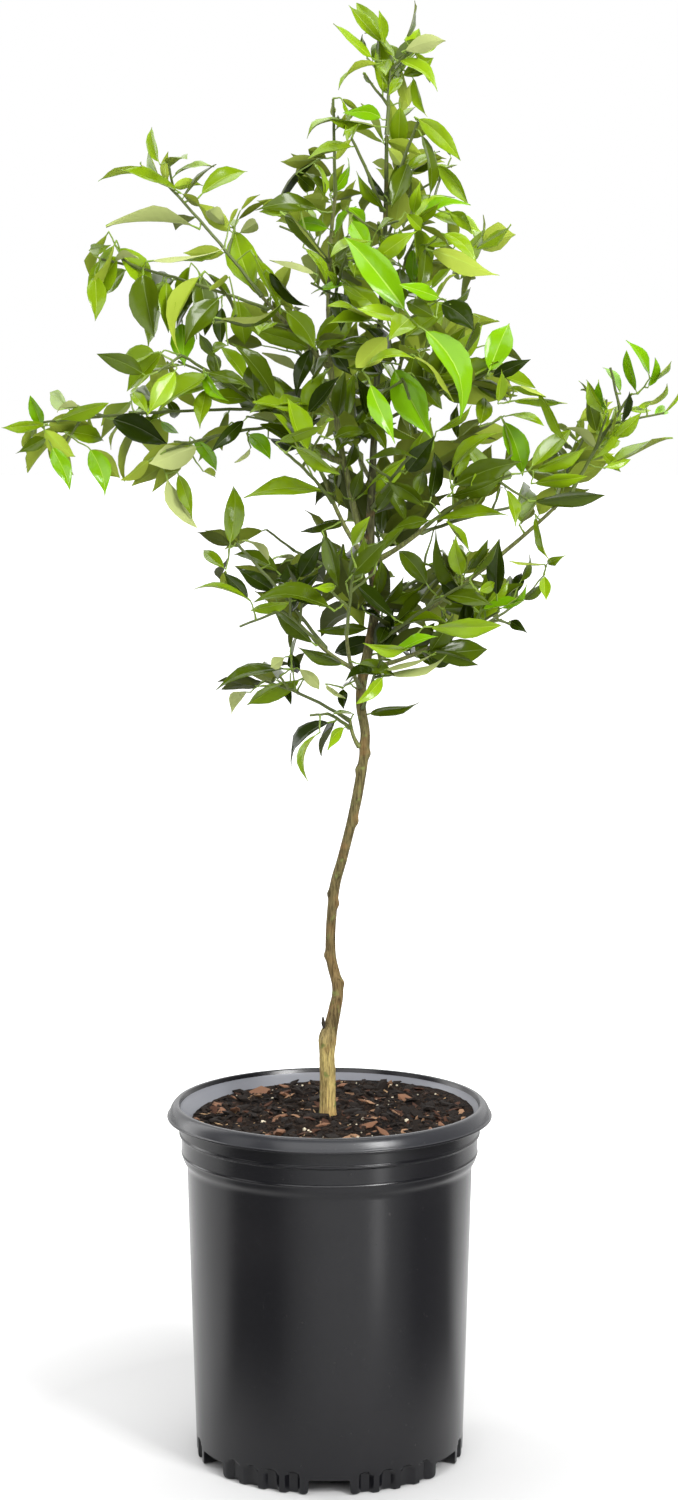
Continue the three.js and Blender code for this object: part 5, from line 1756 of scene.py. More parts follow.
    def twig_rings(self, shoot: Shoot, end: float, seed: int) -> tuple[Array, Array]:
        """The rings of a stem or twig, with a collar where it leaves its limb.

        Args:
            shoot: The stem or twig.
            end: How much of it is drawn.
            seed: Which stream its wiggle is drawn from.

        Returns:
            The middles and the radii of its rings.
        """
        looks = SeededNumbers(seed)
        rings = max(4, round(shoot.length / self.twig_ring))
        shares = np.arange(rings + 1) / rings * end
        centres = np.array([shoot.curve.point(share) for share in shares])
        for ring in range(1, rings):
            away = outward_from(shoot.curve.tangent(shares[ring]), ring * 2.2 + looks.draw())
            centres[ring] += away * looks.between(0.1, 0.45)
        radii = between(*shoot.radii, shares)
        radii[0] *= self.collar
        if np.linalg.norm(centres[0] - shoot.root) > 0.5:
            centres = np.vstack([shoot.root, centres])
            radii = np.concatenate([[radii[0]], radii])
        return centres, radii

    def build_twigs(self) -> None:
        """Builds the stems and twigs that carry leaves."""
        coarse, fine = Heap(), Heap()
        leafy = {leaf.shoot for leaf in self.growth.leaves}
        for shoot in reversed(self.growth.shoots):
            if shoot.number in leafy:
                leafy.add(shoot.parent)
        ends = self.last_leaves()
        for number, shoot in enumerate(self.growth.shoots):
            if shoot.length < 1 or shoot.number not in leafy:
                continue
            rings = self.twig_rings(shoot, ends[shoot.number], self.twig_seed + number)
            thick = shoot.radii[0] >= RULE.twig_radii[0]
            heap, sides = (coarse, self.twig_sides) if thick else (fine, self.fine_sides)
            heap.add(*tube(*rings, sides))
        masses = [mass.name for mass in MASSES]
        kinds = ("twigs", coarse, self.twig_colour), ("fine_twigs", fine, self.fine_colour)
        for name, heap, colour in kinds:
            finish = Finish(name, colour, 0.5, 0.4)
            finish.emboss(finish.effect(self.effects.fibres, Across=900, Along=120), 0.5, 0.0004)
            hand_over(heap.made(name, finish.material), "foliage", *masses, sharp=45)

    def build(self) -> None:
        """Builds the whole crown."""
        self.build_leaves()
        self.build_stalks()
        self.build_twigs()


# Bark


@dataclass
class BarkedLimbs:
    """The trunk and the boughs with the relief of their bark."""

    growth: Growth
    effects: SharedEffects
    trunk_sides: int = 32
    trunk_ring: float = 1.9  # between the trunk's rings
    bough_sides: int = 12
    bough_ring: float = 3.0
    knots: tuple = ((426, -1), (478, -1), (470, 1), (402, 1), (583, -1), (597, 1), (541, 1))
    knot_size: Pair = (1.9, 3.4)  # how proud, and how tall
    collar: Pair = (0.9, 5.5)  # under each bough: how proud, and how tall
    flare: tuple[float, float, float] = (288.0, 5.0, 0.10)  # height, reach and how ribbed
    graft: Triple = (358.0, 7.0, 1.5)  # height, half length and swelling
    snag: Triple = (371.0, 10.0, 1.7)  # height, length and radius
    bark_heights: Pair = (0.288, 1.1)  # metres, of the first and last stop
    # The bark's colour by height in metres: pale rootstock, dark graft, brown scion that turns green, and
    # darker again inside the crown as painted shade under the leaves
    bark_stops: tuple = (
        (0.288, (0.36, 0.20, 0.07)), (0.300, (0.58, 0.44, 0.16)), (0.345, (0.54, 0.43, 0.155)),
        (0.358, (0.36, 0.28, 0.11)), (0.372, (0.150, 0.110, 0.042)), (0.400, (0.215, 0.145, 0.055)),
        (0.470, (0.165, 0.128, 0.050)), (0.560, (0.178, 0.146, 0.055)), (0.660, (0.150, 0.134, 0.048)),
        # From 0.72 m up, inside the crown, these colours are painted shade under the leaves.
        (0.720, (0.085, 0.078, 0.032)), (0.860, (0.056, 0.064, 0.020)), (1.100, (0.07, 0.10, 0.02)),
    )
    # Painted shade in the bark's cracks: how far the colour is darkened there.
    cracks: Colour = (0.26, 0.24, 0.22)  # how much of each part of the colour is left in them

    @staticmethod
    def relief(turn: float, height: float) -> float:
        """How far the trunk's bark stands out or in at a turn and height, as a share of the radius."""
        x, y = math.cos(turn), math.sin(turn)
        broad = noise.noise(Vector((x * 1.3, y * 1.3, height * 0.022)))
        ribbed = noise.noise(Vector((x * 4.0, y * 4.0, height * 0.030 + 7)))
        fine = noise.noise(Vector((x * 9.0, y * 9.0, height * 0.22 + 3)))
        return 0.10 * broad + 0.055 * ribbed + 0.03 * fine

    @staticmethod
    def lumps(turn: float, run: float, number: int) -> float:
        """How far a bough's bark stands out at a turn and a distance from its foot, from -1 to 1."""
        return noise.noise(Vector((math.cos(turn) * 1.5, math.sin(turn) * 1.5, run * 0.06 + number * 9)))

    def trunk_radii(self, shares: Array, centres: Array) -> Array:
        """The trunk's radius at every ring (a row) and side.

        Args:
            shares: The rings' shares along the trunk.
            centres: Their middles.

        Returns:
            The radii.
        """
        trunk = self.growth.limbs["trunk"]
        turns = turns_round(self.trunk_sides)
        heights = centres[:, 2][:, None]
        right, front = np.cos(turns)[None], np.sin(turns)[None]
        radii = np.array([trunk.radius_at(share) for share in shares])[:, None].repeat(self.trunk_sides, 1)
        relief = [[self.relief(turn, centre[2]) for turn in turns] for centre in centres]
        radii = radii * (1 + np.array(relief))
        height, reach, swell = self.graft
        radii = radii + swell * bell(heights - height, reach) * (0.45 - 0.55 * right)
        proud, tall = self.knot_size
        for height, side in self.knots:
            facing = np.clip(right * side * 0.9 - front * 0.35, 0, 1) ** 3
            radii = radii + proud * facing * bell(heights - height, tall)
        proud, tall = self.collar
        for limb in (self.growth.limbs[bough.name] for bough in BOUGHS if bough.on == "trunk"):
            out = unit((limb.curve.point(0.2) - limb.host_centre) * np.array([1, 1, 0]))
            facing = np.clip(right * out[0] + front * out[1], 0, 1) ** 2
            radii = radii + proud * facing * bell(heights - limb.host_centre[2] - 1, tall)
        foot, reach, ribbed = self.flare
        flare = np.exp(-(heights - foot) / reach)
        return radii * (1 + ribbed * flare * np.cos(turns * 5 + 1)[None])

    def bark_finish(self) -> Material:
        """Pale rootstock, a dark graft and a brown scion that turns green higher up, darkened inside the
        crown as painted shade under the leaves.
        """
        finish = Finish("trunk_bark", (0.3, 0.22, 0.1), 0.75, 0.25)
        low, high = self.bark_heights
        place = finish.add("TexCoord").outputs["Object"]
        height = finish.add("SeparateXYZ", {"Vector": place}).outputs["Z"]
        share = finish.add("MapRange", {"Value": height, "From Min": low, "From Max": high}, clamp=True)
        ramp = finish.add("ValToRGB", {"Fac": share.outputs[0]})
        stops = ramp.color_ramp.elements
        for level, colour in self.bark_stops[1:-1]:
            stops.new((level - low) / (high - low))
        for stop, (level, colour) in zip(stops, self.bark_stops):
            stop.color = rgba(colour)
        by_height = ramp.outputs[0]
        fibres = finish.effect(self.effects.fibres, Across=620, Along=70)
        # The cracks are darkened with painted shade.
        darker = finish.mix(1.0, by_height, self.cracks, "MULTIPLY")
        streaked = finish.mix(fibres.outputs["Mask"], darker, by_height)
        worn = finish.effect(self.effects.mottle, Scale=70, Low=0.52, High=0.68)
        patched = finish.mix(worn.outputs["Mask"], streaked, (0.24, 0.13, 0.045))
        half = finish.mix(0.45, streaked, patched)
        moss = finish.effect(self.effects.mottle, Scale=150, Low=0.60, High=0.70)
        finish.paint(finish.mix(moss.outputs["Mask"], half, (0.16, 0.19, 0.05)))
        finish.roughen(fibres.outputs["Mask"], 0.9, 0.66)
        finish.emboss(fibres, 0.9, 0.0012)
        return finish.material

    def bough_finish(self) -> Material:
        """Green-brown young bark."""
        finish = Finish("bough_bark", (0.088, 0.090, 0.030), 0.62, 0.35)
        fibres = finish.effect(self.effects.fibres, Across=700, Along=90)
        finish.paint(finish.mix(fibres.outputs["Mask"], (0.07, 0.07, 0.024), (0.17, 0.19, 0.05)))
        finish.emboss(fibres, 0.7, 0.0008)
        return finish.material

    def build_trunk(self) -> None:
        """Builds the trunk."""
        curve = self.growth.limbs["trunk"].curve
        rings = round(curve.length() / self.trunk_ring)
        centres = curve.points(rings)
        heap = Heap()
        radii = self.trunk_radii(np.arange(rings + 1) / rings, centres)
        heap.add(*tube(centres, radii, self.trunk_sides, upright=True))
        piece = heap.made("trunk_bark", self.bark_finish())
        tidy_normals(piece)
        hand_over(piece, "bark", "trunk", sharp=50)

    def build_snag(self) -> None:
        """Builds the dark snag beside the graft."""
        curve = self.growth.limbs["trunk"].curve
        height, length, radius = self.snag
        foot = curve.point(curve.share_at(height - 6)) + np.array([-4.2, -2.6, 0])
        tip = foot + np.array([-2.2, -0.6, length])
        middle = (foot + tip) / 2 + np.array([-0.9, 0, 0])
        points, faces = tube(np.array([foot, middle, tip]), radius * np.array([1.3, 1, 0.5]), 7)
        finish = Finish("snag_bark", (0.035, 0.028, 0.020), 0.9, 0.2)
        finish.emboss(finish.effect(self.effects.mottle, Scale=300), 0.8, 0.001)
        hand_over(piece_from("graft_snag", points, faces, [finish.material]), "bark", sharp=40)

    def build_boughs(self) -> None:
        """Builds every bough, rooted in its host with a collar."""
        heap = Heap()
        turns = turns_round(self.bough_sides)
        for number, bough in enumerate(BOUGHS):
            limb = self.growth.limbs[bough.name]
            rings = round(limb.curve.length() / self.bough_ring)
            shares = np.arange(rings + 1) / rings
            run = shares * limb.curve.length()
            taper = between(*bough.radii, shares) * (1 + 0.4 * np.exp(-run / 4))
            grown = np.array([[self.lumps(turn, at, number) for turn in turns] for at in run])
            nodes = 0.10 * np.maximum(np.sin(run / 17 * 2 * math.pi + number), 0) ** 6
            radii = taper[:, None] * (1 + 0.09 * grown + nodes[:, None])
            centres = np.vstack([limb.host_centre, limb.curve.points(rings)])
            heap.add(*tube(centres, np.vstack([radii[0], radii]), self.bough_sides))
        names = (bough.name for bough in BOUGHS)
        hand_over(heap.made("bough_bark", self.bough_finish()), "bough", *names, sharp=50)

    def build(self) -> None:
        """Builds the trunk, its snag and the boughs."""
        self.build_trunk()
        self.build_snag()
        self.build_boughs()


# Pot and potting mix


@dataclass
class NurseryPot:
    """A round moulded nursery pot with a rolled lip, two bands, a bulged shoulder and a notched foot."""

    effects: SharedEffects
    height: float = 302
    steps: int = 288
    ring_inner: float = 126.5
    ring_outer: float = 133.5
    lip_radius: float = 136.3
    lip_foot: float = 291
    recess: float = 126.0
    upper_band: float = 125.5
    ridge: float = 277
    lower_band: float = 124.1
    band_foot: float = 260.5
    wall_top: Pair = (120.0, 253.5)
    wall_foot: float = 112.7
    wall_levels: Pair = (110, 200)  # where the outline has a corner on the plain wall
    flute_levels: Triple = (6, 25, 1.2)  # from, to and step of the rings that the flutes bend
    foot_ring_inner: float = 97
    floor_under: float = 12
    floor_top: float = 15
    floor_edge: float = 29  # height at which the wall's inside starts to round into the floor
    ledge_top: float = 297.3
    ledge_foot: Pair = (114.8, 284)
    notch: Triple = (34, 13, 5)  # width, height and the feet's rounding
    notches: int = 6
    flute: tuple[float, float, float, float] = (10.8, 18.5, 4.2, 2.2)  # width, height, depth, soft edge
    flutes: int = 4
    flute_step: float = 9.75  # degrees

    def wall_radius(self, height: float) -> float:
        """The outside of the wall at a height."""
        return between(self.wall_foot, self.wall_top[0], height / self.wall_top[1])

    def outline(self) -> list[Pair]:
        """The pot's outline, from the middle of its underside to the middle of its floor."""
        top, foot, wall = self.height, self.lip_foot, self.wall_radius
        under, ring, (shoulder, wall_top) = self.floor_under, self.foot_ring_inner, self.wall_top
        lower, upper, band, ridge = self.lower_band, self.upper_band, self.band_foot, self.ridge
        lip, outer, inner, edge = self.lip_radius, self.ring_outer, self.ring_inner, self.floor_edge
        return softened([
            (0, under, 0), (ring, under, 1), (ring, 0, 1), (wall(0), 0, 4.5),
            *((wall(level), level, 0) for level in np.arange(*self.flute_levels)),
            *((wall(level), level, 0) for level in self.wall_levels),
            (shoulder - 0.2, wall_top - 3.5, 3), (lower - 0.9, wall_top + 1.8, 3),
            (lower, band - 1, 1.4), (lower + 0.75, band + 0.2, 0.5), (lower + 0.1, band + 1.6, 0.6),
            (lower + 0.2, ridge - 2.2, 0.6), (upper + 0.9, ridge - 0.8, 0.6),
            (upper + 0.9, ridge + 0.5, 0.5), (upper, ridge + 1.4, 0.6),
            (upper + 0.2, foot - 3.4, 1.5), (self.recess + 1.8, foot - 0.4, 1.5),
            (lip - 2.4, foot - 1.1, 1.2), (lip, foot - 0.4, 1.2), (lip, foot + 0.9, 0.9),
            (lip - 1.2, foot + 1.7, 0.5), (lip - 1.7, foot + 3.4, 2.0),
            (outer - 0.6, top - 3.4, 3.0), (outer - 3.4, top, 1.6),
            (inner, top, 0.7), (inner - 2.0, self.ledge_top, 1.4), (*self.ledge_foot, 1.5),
            (wall(edge) - 2.6, edge, 0), (wall(15) - 7.6, self.floor_top, 1), (0, self.floor_top, 0),
        ])

    def press_flutes(self, piece: Piece) -> None:
        """Presses the arch-topped flutes into the foot, between the notches."""
        width, height, depth, edge = self.flute
        half, last = width / 2, (self.flutes - 1) / 2
        for vertex in piece.data.vertices:
            x, y, z = np.array(vertex.co) / METRE
            radius = math.hypot(x, y)
            if z > height + edge or radius < self.wall_foot - 6:
                continue
            turn = (math.degrees(math.atan2(y, x)) + 90) % (360 / self.notches) - 180 / self.notches
            step = min(max(round(turn / self.flute_step - 0.5) + 0.5, -last), last)
            across = math.radians(turn - step * self.flute_step) * radius
            crown = height - half
            off = abs(across) if z < crown else math.hypot(across, z - crown)
            share = min(max((half + edge / 2 - off) / edge, 0), 1)
            scale = (radius - depth * share * share * (3 - 2 * share)) / radius
            vertex.co.x *= scale
            vertex.co.y *= scale

    def notch_cutter(self, degrees: float) -> Piece:
        """A tool with the notch's outline, whose foot flares to round the feet beside it.

        Args:
            degrees: Its turn round the pot.

        Returns:
            The tool.
        """
        width, height, flare = self.notch
        half = width / 2
        arc = [math.radians(angle) for angle in (0, 30, 60, 90)]
        right = [(half + flare, -4.0)]
        right += [(half + flare * (1 - math.sin(turn)), flare * (1 - math.cos(turn))) for turn in arc]
        right += [(half, height - 1.5), (half - 1.5, height)]
        across = right + [(-x, z) for x, z in reversed(right)]
        points = np.array([(x, -(self.foot_ring_inner - 3), z) for x, z in across])
        cutter = piece_from("notch_cutter", points, [tuple(range(len(points)))])
        away = {"value": (0, -(self.lip_radius - self.foot_ring_inner) * METRE, 0)}
        draw_out = bpy.ops.mesh.extrude_region_move
        edit_all(cutter, lambda: draw_out(TRANSFORM_OT_translate=away), turn_outwards)
        cutter.rotation_euler.z = math.radians(degrees)
        bpy.ops.object.transform_apply(location=False, rotation=True, scale=False)
        return cutter

    def cut_notches(self, piece: Piece) -> None:
        """Cuts the notches out of the foot."""
        for i in range(self.notches):
            cutter = self.notch_cutter(i * 360 / self.notches)
            select_only(piece)
            cut = piece.modifiers.new("notch", "BOOLEAN")
            cut.operation, cut.solver, cut.object = "DIFFERENCE", "EXACT", cutter
            bpy.ops.object.modifier_apply(modifier=cut.name)
            bpy.data.objects.remove(cutter)

    def plastic(self, name: str, dust_and_sheen: float, rough: float) -> Material:
        """Black plastic with a moulded grain and dull smudges.

        Args:
            name: The material's name.
            dust_and_sheen: How much lighter it is made: by dust on the ledge, and by a painted sheen on the
                lip.
            rough: Its roughness where it is cleanest.

        Returns:
            The material.
        """
        # Each colour is lifted by the lighter share: dust on the ledge, and a painted sheen on the lip.
        clean, smudged, speck = (
            tuple(part + dust_and_sheen * tint for part, tint in zip(colour, (1.0, 1.03, 1.14)))
            for colour in ((0.005, 0.005, 0.0065), (0.009, 0.0085, 0.010), (0.030, 0.028, 0.027))
        )
        finish = Finish(name, clean, rough, 0.36)
        dust = finish.effect(self.effects.mottle, Scale=9, Low=0.50, High=0.80)
        specks = finish.effect(self.effects.mottle, Scale=420, Low=0.70, High=0.76)
        hazed = finish.mix(dust.outputs["Mask"], clean, smudged)
        finish.paint(finish.mix(specks.outputs["Mask"], hazed, speck))
        finish.roughen(dust.outputs["Mask"], rough, rough + 0.08)
        finish.emboss(specks, 0.10, 0.0003)
        return finish.material

    def build(self) -> None:
        """Builds the pot, with clean plastic, a lip lightened as a painted sheen and a ledge lightened by
        dust.
        """
        piece = spun("nursery_pot", self.outline(), self.steps)
        self.press_flutes(piece)
        self.cut_notches(piece)
        piece.data.materials.clear()
        # The lip's lighter colour is a painted sheen that stands in for the bright band of light on it; the
        # ledge is lighter with dust.
        plastics = ("nursery_plastic", 0.0, 0.21), ("worn_lip", 0.019, 0.25), ("dusty_ledge", 0.17, 0.36)
        for plastic in plastics:
            piece.data.materials.append(self.plastic(*plastic))
        for face in piece.data.polygons:
            x, y, z = face.center / METRE
            radius = math.hypot(x, y)
            if radius < self.ring_inner - 1.6 and z > self.ledge_foot[1] - 2:
                face.material_index = 2
            # The faces of the lip get the painted sheen.
            elif z > self.lip_foot + 1.3 and radius > self.ring_inner + 1:
                face.material_index = 1
        hand_over(piece, "pot", "pot", sharp=38)


@dataclass
class PottingMix:
    """Chipped bark mix: a lumpy top, flakes of bark, crumbs and beads of perlite."""

    effects: SharedEffects
    pot: NurseryPot
    top: float = 291.6
    rim_height: float = 289.8
    rim_tilt: float = 4.8
    high_side: float = 0.75  # the turn towards which it lies highest
    collar: float = 14.0
    relief: float = 2.3
    clods: Pair = (0.10, 2.8)  # how close together, and how high
    crumbs: Pair = (0.34, 0.96)
    rings: int = 44
    steps: int = 168
    seed: int = 12

    def __post_init__(self) -> None:
        """Works out where the mix meets the foot of the pot's ledge, and the ball that flakes come from."""
        self.edge = self.pot.ledge_foot[0] - 0.6
        bpy.ops.mesh.primitive_ico_sphere_add(subdivisions=1, radius=1)
        ball = bpy.context.object
        self.ball = np.array([vertex.co for vertex in ball.data.vertices])
        self.ball_faces = [tuple(face.vertices) for face in ball.data.polygons]
        bpy.data.objects.remove(ball)

    def rim(self, turn: float) -> Pair:
        """The radius and height at which the mix meets the ledge: lower on the left, as in the photo."""
        foot, low = self.pot.ledge_foot
        slope = (self.pot.ring_inner - 2.0 - foot) / (self.pot.ledge_top - low)
        height = self.rim_height + self.rim_tilt * math.cos(turn - self.high_side) + 0.3 * math.sin(3 * turn)
        return foot - 0.5 + slope * (height - low), height

    def level(self, x: float, y: float) -> float:
        """The height of the mix at a place."""
        radius = math.hypot(x, y)
        lumps = math.sin(x * 0.09 + 1) * math.cos(y * 0.11) + 0.5 * math.sin(x * 0.21 - y * 0.17)
        settled = min(max((radius - 6) / self.collar, 0), 1)
        clods, crumbs = (
            noise.noise(Vector((x * close, y * close, depth))) * high
            for (close, high), depth in ((self.clods, 2.0), (self.crumbs, 5.0))
        )
        rim_radius, rim_height = self.rim(math.atan2(y, x))
        share = min(radius / rim_radius, 1.0)
        level = between(self.top, rim_height, share**3)
        return level + settled * (1 - share**6) * (self.relief * lumps + clods) + crumbs - 0.6

    def build_bed(self) -> None:
        """Builds the body of the mix, with its rough top."""
        bottom, edge, wall = self.pot.floor_top + 0.4, self.pot.floor_edge, self.pot.wall_radius
        profile = [(0, bottom), (wall(15) - 9, bottom), (wall(edge) - 3.2, edge), (self.edge, 278.5)]
        profile += [(self.edge * (1 - ring / self.rings), self.top) for ring in range(self.rings + 1)]
        piece = spun("mix_bed", profile, self.steps)
        for vertex in piece.data.vertices:
            x, y, z = (value / METRE for value in vertex.co)
            if z > self.top - 1:
                spread = self.rim(math.atan2(y, x))[0] / self.edge
                x, y = x * spread, y * spread
                vertex.co = Vector((x, y, self.level(x, y))) * METRE
        finish = Finish("bark_mix", (0.030, 0.019, 0.013), 0.95, 0.2)
        damp = finish.effect(self.effects.mottle, Scale=60, Low=0.42, High=0.62)
        crumb = finish.effect(self.effects.mottle, Scale=330, Low=0.5, High=0.62)
        brown = finish.mix(damp.outputs["Mask"], (0.006, 0.004, 0.0035), (0.022, 0.013, 0.009))
        finish.paint(finish.mix(crumb.outputs["Mask"], brown, (0.040, 0.023, 0.014)))
        finish.emboss(crumb, 1.0, 0.003)
        piece.data.materials.append(finish.material)
        hand_over(piece, "potting_mix", "potting_mix", sharp=60)

    def lump(self, size: Triple, looks: np.random.Generator) -> Array:
        """The points of a rough flake or crumb, shaped from a small ball.

        Args:
            size: Its half length, half width and half thickness.
            looks: Where its roughness is drawn from.

        Returns:
            Its points round its own middle.
        """
        points = self.ball * looks.uniform(0.72, 1.15, (len(self.ball), 1))
        points = np.sign(points) * np.abs(points) ** 0.8
        points[:, 1:] *= (1.05 - np.abs(points[:, :1])).clip(0.12) ** (0.7 * (size[1] < 0.6 * size[0]))
        return points * np.array(size)

    def strewn(
        self, name: str, colour: Colour, count: int, length: Pair, flat: float, slim: float,
        rough: float = 0.9,
    ) -> None:
        """Strews one kind of flake, crumb or bead over the mix.

        Args:
            name: The piece's name.
            colour: Its plain colour.
            count: How many there are.
            length: The shortest and the longest half length.
            flat: Thickness as a share of the length.
            slim: Width as a share of the length.
            rough: How dull it is.
        """
        looks = np.random.default_rng(self.seed + count)
        heap = Heap()
        for _ in range(count):
            radius = math.sqrt(looks.uniform(0.012, 1)) * (self.edge - 1)
            turn = looks.uniform(0, 2 * math.pi)
            x, y = radius * math.cos(turn), radius * math.sin(turn)
            half = length[0] + (length[1] - length[0]) * looks.uniform() ** 2.2
            size = (half, half * slim * looks.uniform(0.7, 1.3), half * flat * looks.uniform(0.7, 1.3))
            points = self.lump(size, looks)
            tilts = looks.normal(0, 0.3), looks.normal(0, 0.3), looks.uniform(0, 2 * math.pi)
            for axis, angle in enumerate(tilts):
                points = points @ turned_about(axis, angle).T
            heap.add(points + np.array([x, y, self.level(x, y) + size[2] * 0.45]), self.ball_faces)
        finish = Finish(name, colour, rough, 0.25)
        finish.emboss(finish.effect(self.effects.mottle, Scale=260), 0.7, 0.0015)
        hand_over(heap.made(name, finish.material), "potting_mix", sharp=25)

    def build(self) -> None:
        """Builds the mix and everything strewn on it."""
        self.build_bed()
        self.strewn("bark_chips", (0.210, 0.105, 0.060), 30, (8.0, 14.0), 0.22, 0.5)
        self.strewn("bark_flakes_red", (0.065, 0.028, 0.016), 170, (3.0, 10.0), 0.20, 0.50)
        self.strewn("bark_flakes_tan", (0.300, 0.172, 0.098), 70, (2.2, 9.5), 0.18, 0.48)
        self.strewn("bark_flakes_dark", (0.012, 0.008, 0.006), 560, (2.5, 9.0), 0.30, 0.55)
        self.strewn("wood_splinters", (0.400, 0.260, 0.140), 110, (2.0, 6.0), 0.16, 0.20)
        self.strewn("mix_crumbs", (0.024, 0.015, 0.010), 1100, (0.9, 2.4), 0.8, 0.9)
        self.strewn("perlite_beads", (0.700, 0.620, 0.460), 100, (0.6, 1.7), 0.9, 0.95, 0.8)


def turned_about(axis: int, angle: float) -> Array:
    """The matrix that turns by an angle about X, Y or Z."""
    one, two = [i for i in range(3) if i != axis]
    matrix = np.eye(3)
    matrix[one, one] = matrix[two, two] = math.cos(angle)
    matrix[one, two], matrix[two, one] = -math.sin(angle), math.sin(angle)
    return matrix


# Studio


@dataclass(frozen=True)
class Softbox:
    """A soft light: where it stands, what it looks at, its sides and its power."""

    name: str
    place: Triple
    aim: Triple
    sides: Pair
    power: float


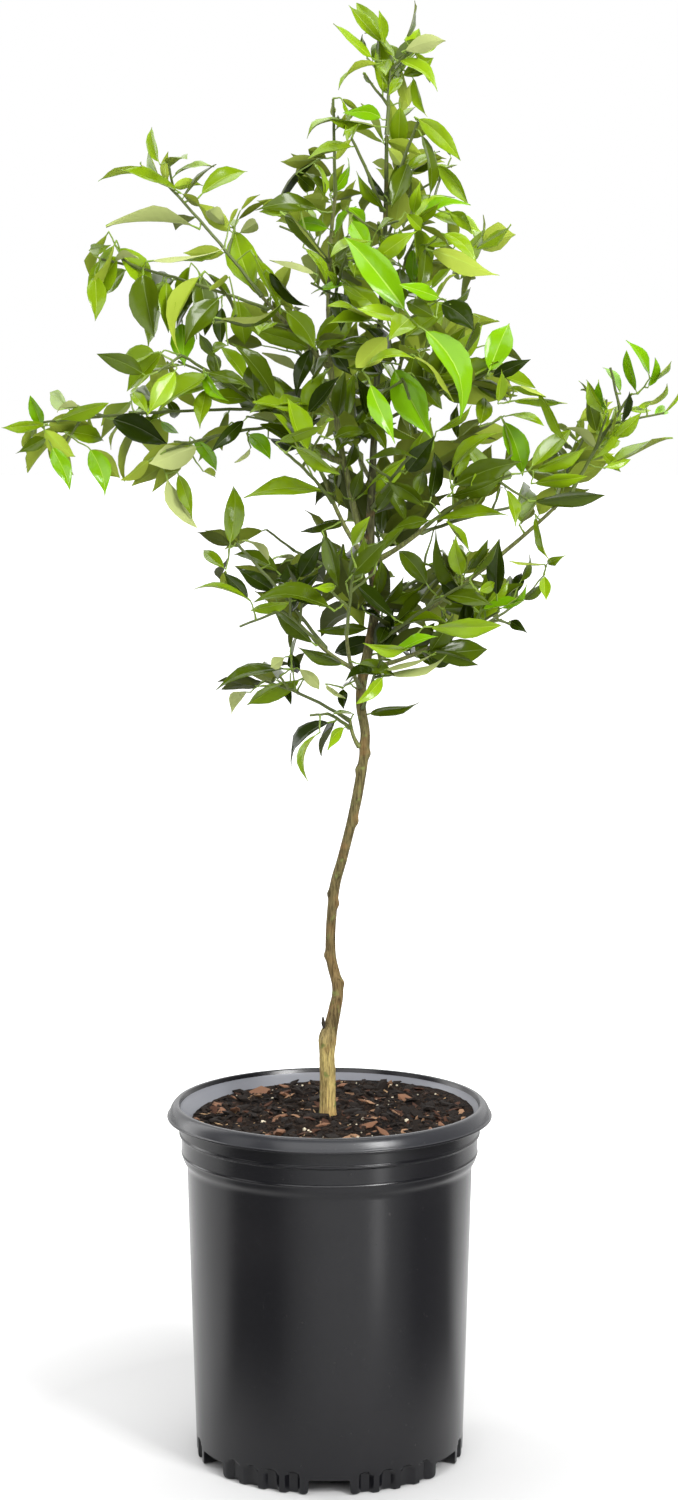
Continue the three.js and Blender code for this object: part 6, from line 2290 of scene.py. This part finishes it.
@dataclass
class Studio:
    """The pale floor, the lights and the camera."""

    floor_half: float = 30.0
    open_floor: Colour = (0.60, 0.60, 0.60)
    floor_glow: Pair = (0.0, 1.0)  # near the pot and far from it
    glow_reach: Pair = (0.28, 1.0)
    # What the pot mirrors of the floor, by turn from the front to the back
    floor_shades: tuple[Pair, ...] = (
        (0.02, 0.66), (0.08, 0.52), (0.20, 0.16), (0.50, 0.16), (0.62, 0.72), (0.98, 0.74),
    )
    shade_turn: float = 0.26  # how far to the right of the front the shades start
    shade_reach: Pair = (0.20, 0.42)
    room_light: Pair = (0.08, 1.65)  # from the front of the room and from its back
    room_edge: Pair = (-0.2, 0.75)
    sensor: float = 36.0
    far: float = 200.0
    softboxes: tuple[Softbox, ...] = (
        Softbox("key", (1.75, -2.15, 2.1), (0.02, 0, 0.72), (0.8, 1.3), 93),
        Softbox("overhead", (0.1, 0.3, 3.1), (0.02, 0, 0.4), (2.4, 2.4), 58),
        Softbox("canopy", (-0.1, -2.5, 2.1), (0, 0, 0.4), (3.8, 2.2), 82),
        Softbox("left_rim", (-1.9, 0.9, 1.2), (0, 0, 0.3), (0.9, 2.2), 22),
        Softbox("left_fill", (-2.6, -1.0, 1.4), (0, 0, 0.7), (1.2, 2.0), 11),
        Softbox("low_strip", (0.34, -0.47, 0.10), (0, 0, 0.09), (0.09, 0.19), 0.13),
    )

    def floor_shade(self, finish: Finish, spot: Socket) -> Socket:
        """The shade of grey that the pot mirrors from each side.

        Args:
            finish: The floor's finish.
            spot: The place on the floor.

        Returns:
            The colour.
        """
        level = finish.add("VectorMath", {0: spot, 1: (1, 1, 0)}, operation="MULTIPLY")
        way = finish.add("VectorMath", {0: level.outputs[0]}, operation="NORMALIZE").outputs[0]
        back = (-math.sin(self.shade_turn), math.cos(self.shade_turn), 0)
        front = finish.add("VectorMath", {0: way, 1: back}, operation="DOT_PRODUCT").outputs["Value"]
        share = finish.add("MapRange", {"Value": front, "From Min": -1}).outputs[0]
        ramp = finish.add("ValToRGB", {"Fac": share})
        stops = ramp.color_ramp.elements
        for place, shade in self.floor_shades:
            stops.new(place).color = rgba((shade, shade, shade))
        stops.remove(stops[0])
        stops.remove(stops[-1])
        return ramp.outputs[0]

    def build_floor(self) -> None:
        """Lays a wide pale floor."""
        bpy.ops.mesh.primitive_plane_add(size=2 * self.floor_half)
        floor = bpy.context.object
        floor.name = "studio_floor"
        finish = Finish("studio_floor", (0.70, 0.70, 0.70), 0.9, 0.1)
        spot = finish.add("TexCoord").outputs["Object"]
        distance = finish.add("VectorMath", {0: spot}, operation="LENGTH").outputs["Value"]

        def over(reach: Pair, **values: float) -> Socket:
            """A number that changes over a reach of distance from the pot."""
            ends = {"Value": distance, "From Min": reach[0], "From Max": reach[1]}
            return finish.add("MapRange", ends | values).outputs[0]

        shaded = finish.mix(over(self.shade_reach), self.open_floor, self.floor_shade(finish, spot))
        seen = finish.add("LightPath").outputs["Is Camera Ray"]
        finish.paint(finish.mix(seen, shaded, self.open_floor))
        near, far = self.floor_glow
        strength = over(self.glow_reach, **{"To Min": near, "To Max": far})
        glow = finish.add("Emission", {"Color": rgba((1, 1, 1)), "Strength": strength})
        both = finish.add("AddShader", {0: finish.surface.outputs[0], 1: glow.outputs[0]})
        mixed = finish.add("MixShader", {0: seen, 1: finish.surface.outputs[0], 2: both.outputs[0]})
        finish.tree.links.new(mixed.outputs[0], finish.tree.nodes["Material Output"].inputs["Surface"])
        floor.data.materials.append(finish.material)

    def build_lights(self) -> None:
        """Hangs the softboxes."""
        for box in self.softboxes:
            light = bpy.data.lights.new(box.name, "AREA")
            light.shape, light.energy = "RECTANGLE", box.power
            light.size, light.size_y = box.sides
            lamp = bpy.data.objects.new(box.name, light)
            lamp.location = box.place
            lamp.visible_camera = False
            aim = Vector(box.aim) - Vector(box.place)
            lamp.rotation_euler = aim.to_track_quat("-Z", "Y").to_euler()
            bpy.context.scene.collection.objects.link(lamp)

    def build_room(self) -> None:
        """Fills the room with light that is white to the camera and comes mostly from the back."""
        world = bpy.data.worlds.new("studio")
        world.use_nodes = True
        bpy.context.scene.world = world
        tree = world.node_tree
        seen = tree.nodes["Background"]
        seen.inputs["Color"].default_value = rgba((1, 1, 1))
        seen.inputs["Strength"].default_value = 1.0
        place = add_node(tree, "TexCoord").outputs["Generated"]
        depth = add_node(tree, "SeparateXYZ", {"Vector": place}).outputs["Y"]
        names = ("From Min", "From Max", "To Min", "To Max")
        ends = dict(zip(names, (*self.room_edge, *self.room_light)))
        strength = add_node(tree, "MapRange", {"Value": depth} | ends, clamp=True)
        lit = add_node(tree, "Background", {"Strength": strength.outputs[0]})
        ray = add_node(tree, "LightPath").outputs["Is Camera Ray"]
        mixed = add_node(tree, "MixShader", {0: ray, 1: lit.outputs[0], 2: seen.outputs[0]})
        tree.links.new(mixed.outputs[0], tree.nodes["World Output"].inputs["Surface"])

    def place_camera(self) -> None:
        """Stands the camera where the photo was taken from."""
        camera = bpy.data.cameras.new("camera")
        camera.sensor_width, camera.clip_end = self.sensor, self.far
        camera.lens = VIEW.focal / VIEW.height * self.sensor
        stand = bpy.data.objects.new("camera", camera)
        stand.location = np.array(VIEW.place) * METRE
        stand.rotation_euler = (math.radians(90 - VIEW.pitch_down), 0, 0)
        scene = bpy.context.scene
        scene.collection.objects.link(stand)
        scene.camera = stand
        scene.view_settings.view_transform = "Standard"

    def build(self) -> None:
        """Sets up the whole studio."""
        self.build_floor()
        self.build_lights()
        self.build_room()
        self.place_camera()


def main() -> None:
    """Builds the pot, the mix, the limbs, the crown and the studio."""
    logging.basicConfig(level=logging.INFO, format="%(message)s")
    effects = SharedEffects()
    growth = Growth()
    growth.grow()
    pot = NurseryPot(effects)
    pot.build()
    PottingMix(effects, pot).build()
    BarkedLimbs(growth, effects).build()
    Crown(growth, effects).build()
    Studio().build()


if __name__ == "__main__":
    main()
